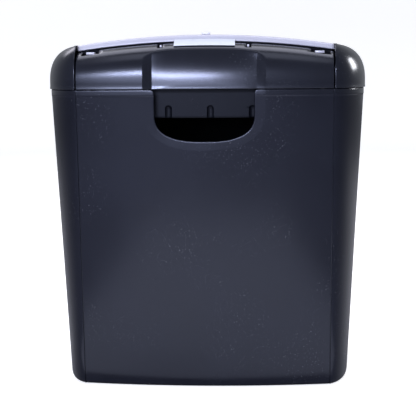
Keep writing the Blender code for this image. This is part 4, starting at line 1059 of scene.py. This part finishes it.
def studio():
    ground = block("floor", (-6, -6, -0.03), (6, 6, -0.004))
    ground.data.materials.append(ground_material("pale_floor", (0.31, 0.31, 0.325), 0.0))
    bowl = backdrop()
    bowl.data.materials.append(ground_material("white_paper", (0.82, 0.82, 0.83), 0.64))
    card = bounce_card()
    card.data.materials.append(ground_material("bounce_card", (0.70, 0.70, 0.71), 0.42))
    bpy.context.scene.view_settings.view_transform = "Standard"
    world = bpy.data.worlds.new("world")
    world.use_nodes = True
    background = world.node_tree.nodes["Background"]
    background.inputs["Color"].default_value = (0.88, 0.92, 1.0, 1)
    background.inputs["Strength"].default_value = 0.36
    bpy.context.scene.world = world
    area_light("key_softbox", toward(-11.5, 17, 2.2), HEAD, (0.81, 0.22), 36, (0.78, 0.82, 1.0))
    area_light("low_softbox", toward(-9.5, 6, 2.2), HEAD, (1.10, 0.50), 8, (0.76, 0.80, 1.0))
    area_light("right_softbox", toward(118, 16, 1.9), (0.1, 0, 0.30), (0.50, 0.50), 13, (1.0, 1.0, 1.0))
    area_light("top_softbox", toward(180, 68, 1.7), HEAD, (1.8, 0.9), 15, (0.93, 0.92, 1.0))
    area_light("left_softbox", toward(-140, 36, 2.0), HEAD, (0.9, 0.7), 7, (0.95, 0.92, 1.0))
    area_light("ceiling_softbox", toward(0, 72, 1.9), HEAD, (1.5, 0.8), 5, (0.93, 0.94, 1.0))


def backdrop():
    """A shallow bowl of white paper round the object. Only the camera sees it, so the dark casing
    mirrors the gray floor instead."""
    radius, bend, rise = 2.8, 0.5, 2.2
    bend_steps = 12
    profile = [(out, 0.0) for out in (0.03, 0.1, 0.3, 0.8, 1.6, radius)]
    for i in range(1, bend_steps + 1):
        angle = math.pi / 2 * i / bend_steps
        profile.append((radius + bend * math.sin(angle), bend * (1 - math.cos(angle))))
    profile.append((radius + bend, rise))
    rows = []
    for out, height in profile:
        turns = np.linspace(0, 2 * math.pi, 97)
        rows.append([(out * math.cos(a), out * math.sin(a), height - 0.0002) for a in turns])
    bowl = sheet("backdrop", rows, flip=True)
    bowl.visible_diffuse = False
    bowl.visible_glossy = False
    bowl.visible_shadow = False
    return bowl


def bounce_card():
    """A pale card under the paper in front of the object, which the front panel mirrors."""
    rows = []
    for y in np.linspace(-0.80, -0.10, 8):
        rows.append([(x, y, -0.002) for x in np.linspace(-0.22, 0.22, 5)])
    return sheet("bounce_card", rows, flip=True)


VIEW_AZIMUTH, VIEW_PITCH, VIEW_ROLL = (math.radians(a) for a in (2.2, 8.2, -0.43))
VIEW_DISTANCE = 1.0
VIEW_HEIGHT = 0.312


def camera():
    """A camera in front and a little to the right, that looks slightly down."""
    across, ahead = math.sin(VIEW_AZIMUTH), math.cos(VIEW_AZIMUTH)
    place = Vector((VIEW_DISTANCE * across, -VIEW_DISTANCE * ahead, VIEW_HEIGHT))
    level, down = math.cos(VIEW_PITCH), math.sin(VIEW_PITCH)
    forward = Vector((-across * level, ahead * level, -down))
    right = forward.cross(Vector((0, 0, 1))).normalized()
    up = right.cross(forward)
    tilted = right * math.cos(VIEW_ROLL) + up * math.sin(VIEW_ROLL)
    tilted_up = tilted.cross(forward)
    turn = Matrix((tilted, tilted_up, -forward)).transposed()
    lens = bpy.data.cameras.new("camera")
    lens.lens = 83.4
    lens.sensor_width = 36
    lens.shift_x = -0.6 / 416  # the frame is 416 by 416
    seer = bpy.data.objects.new("camera", lens)
    seer.matrix_world = Matrix.Translation(place) @ turn.to_4x4()
    bpy.context.scene.collection.objects.link(seer)
    bpy.context.scene.camera = seer


camera()
studio()
waste_basket()
head_cover()
end_cap(-1, "left_end_cap")
end_cap(1, "right_end_cap")
top_plate()
nameplate()
head_base()
paper_throat()
mode_knob()
dress_cad_nodes()

bpy.context.view_layer.update()
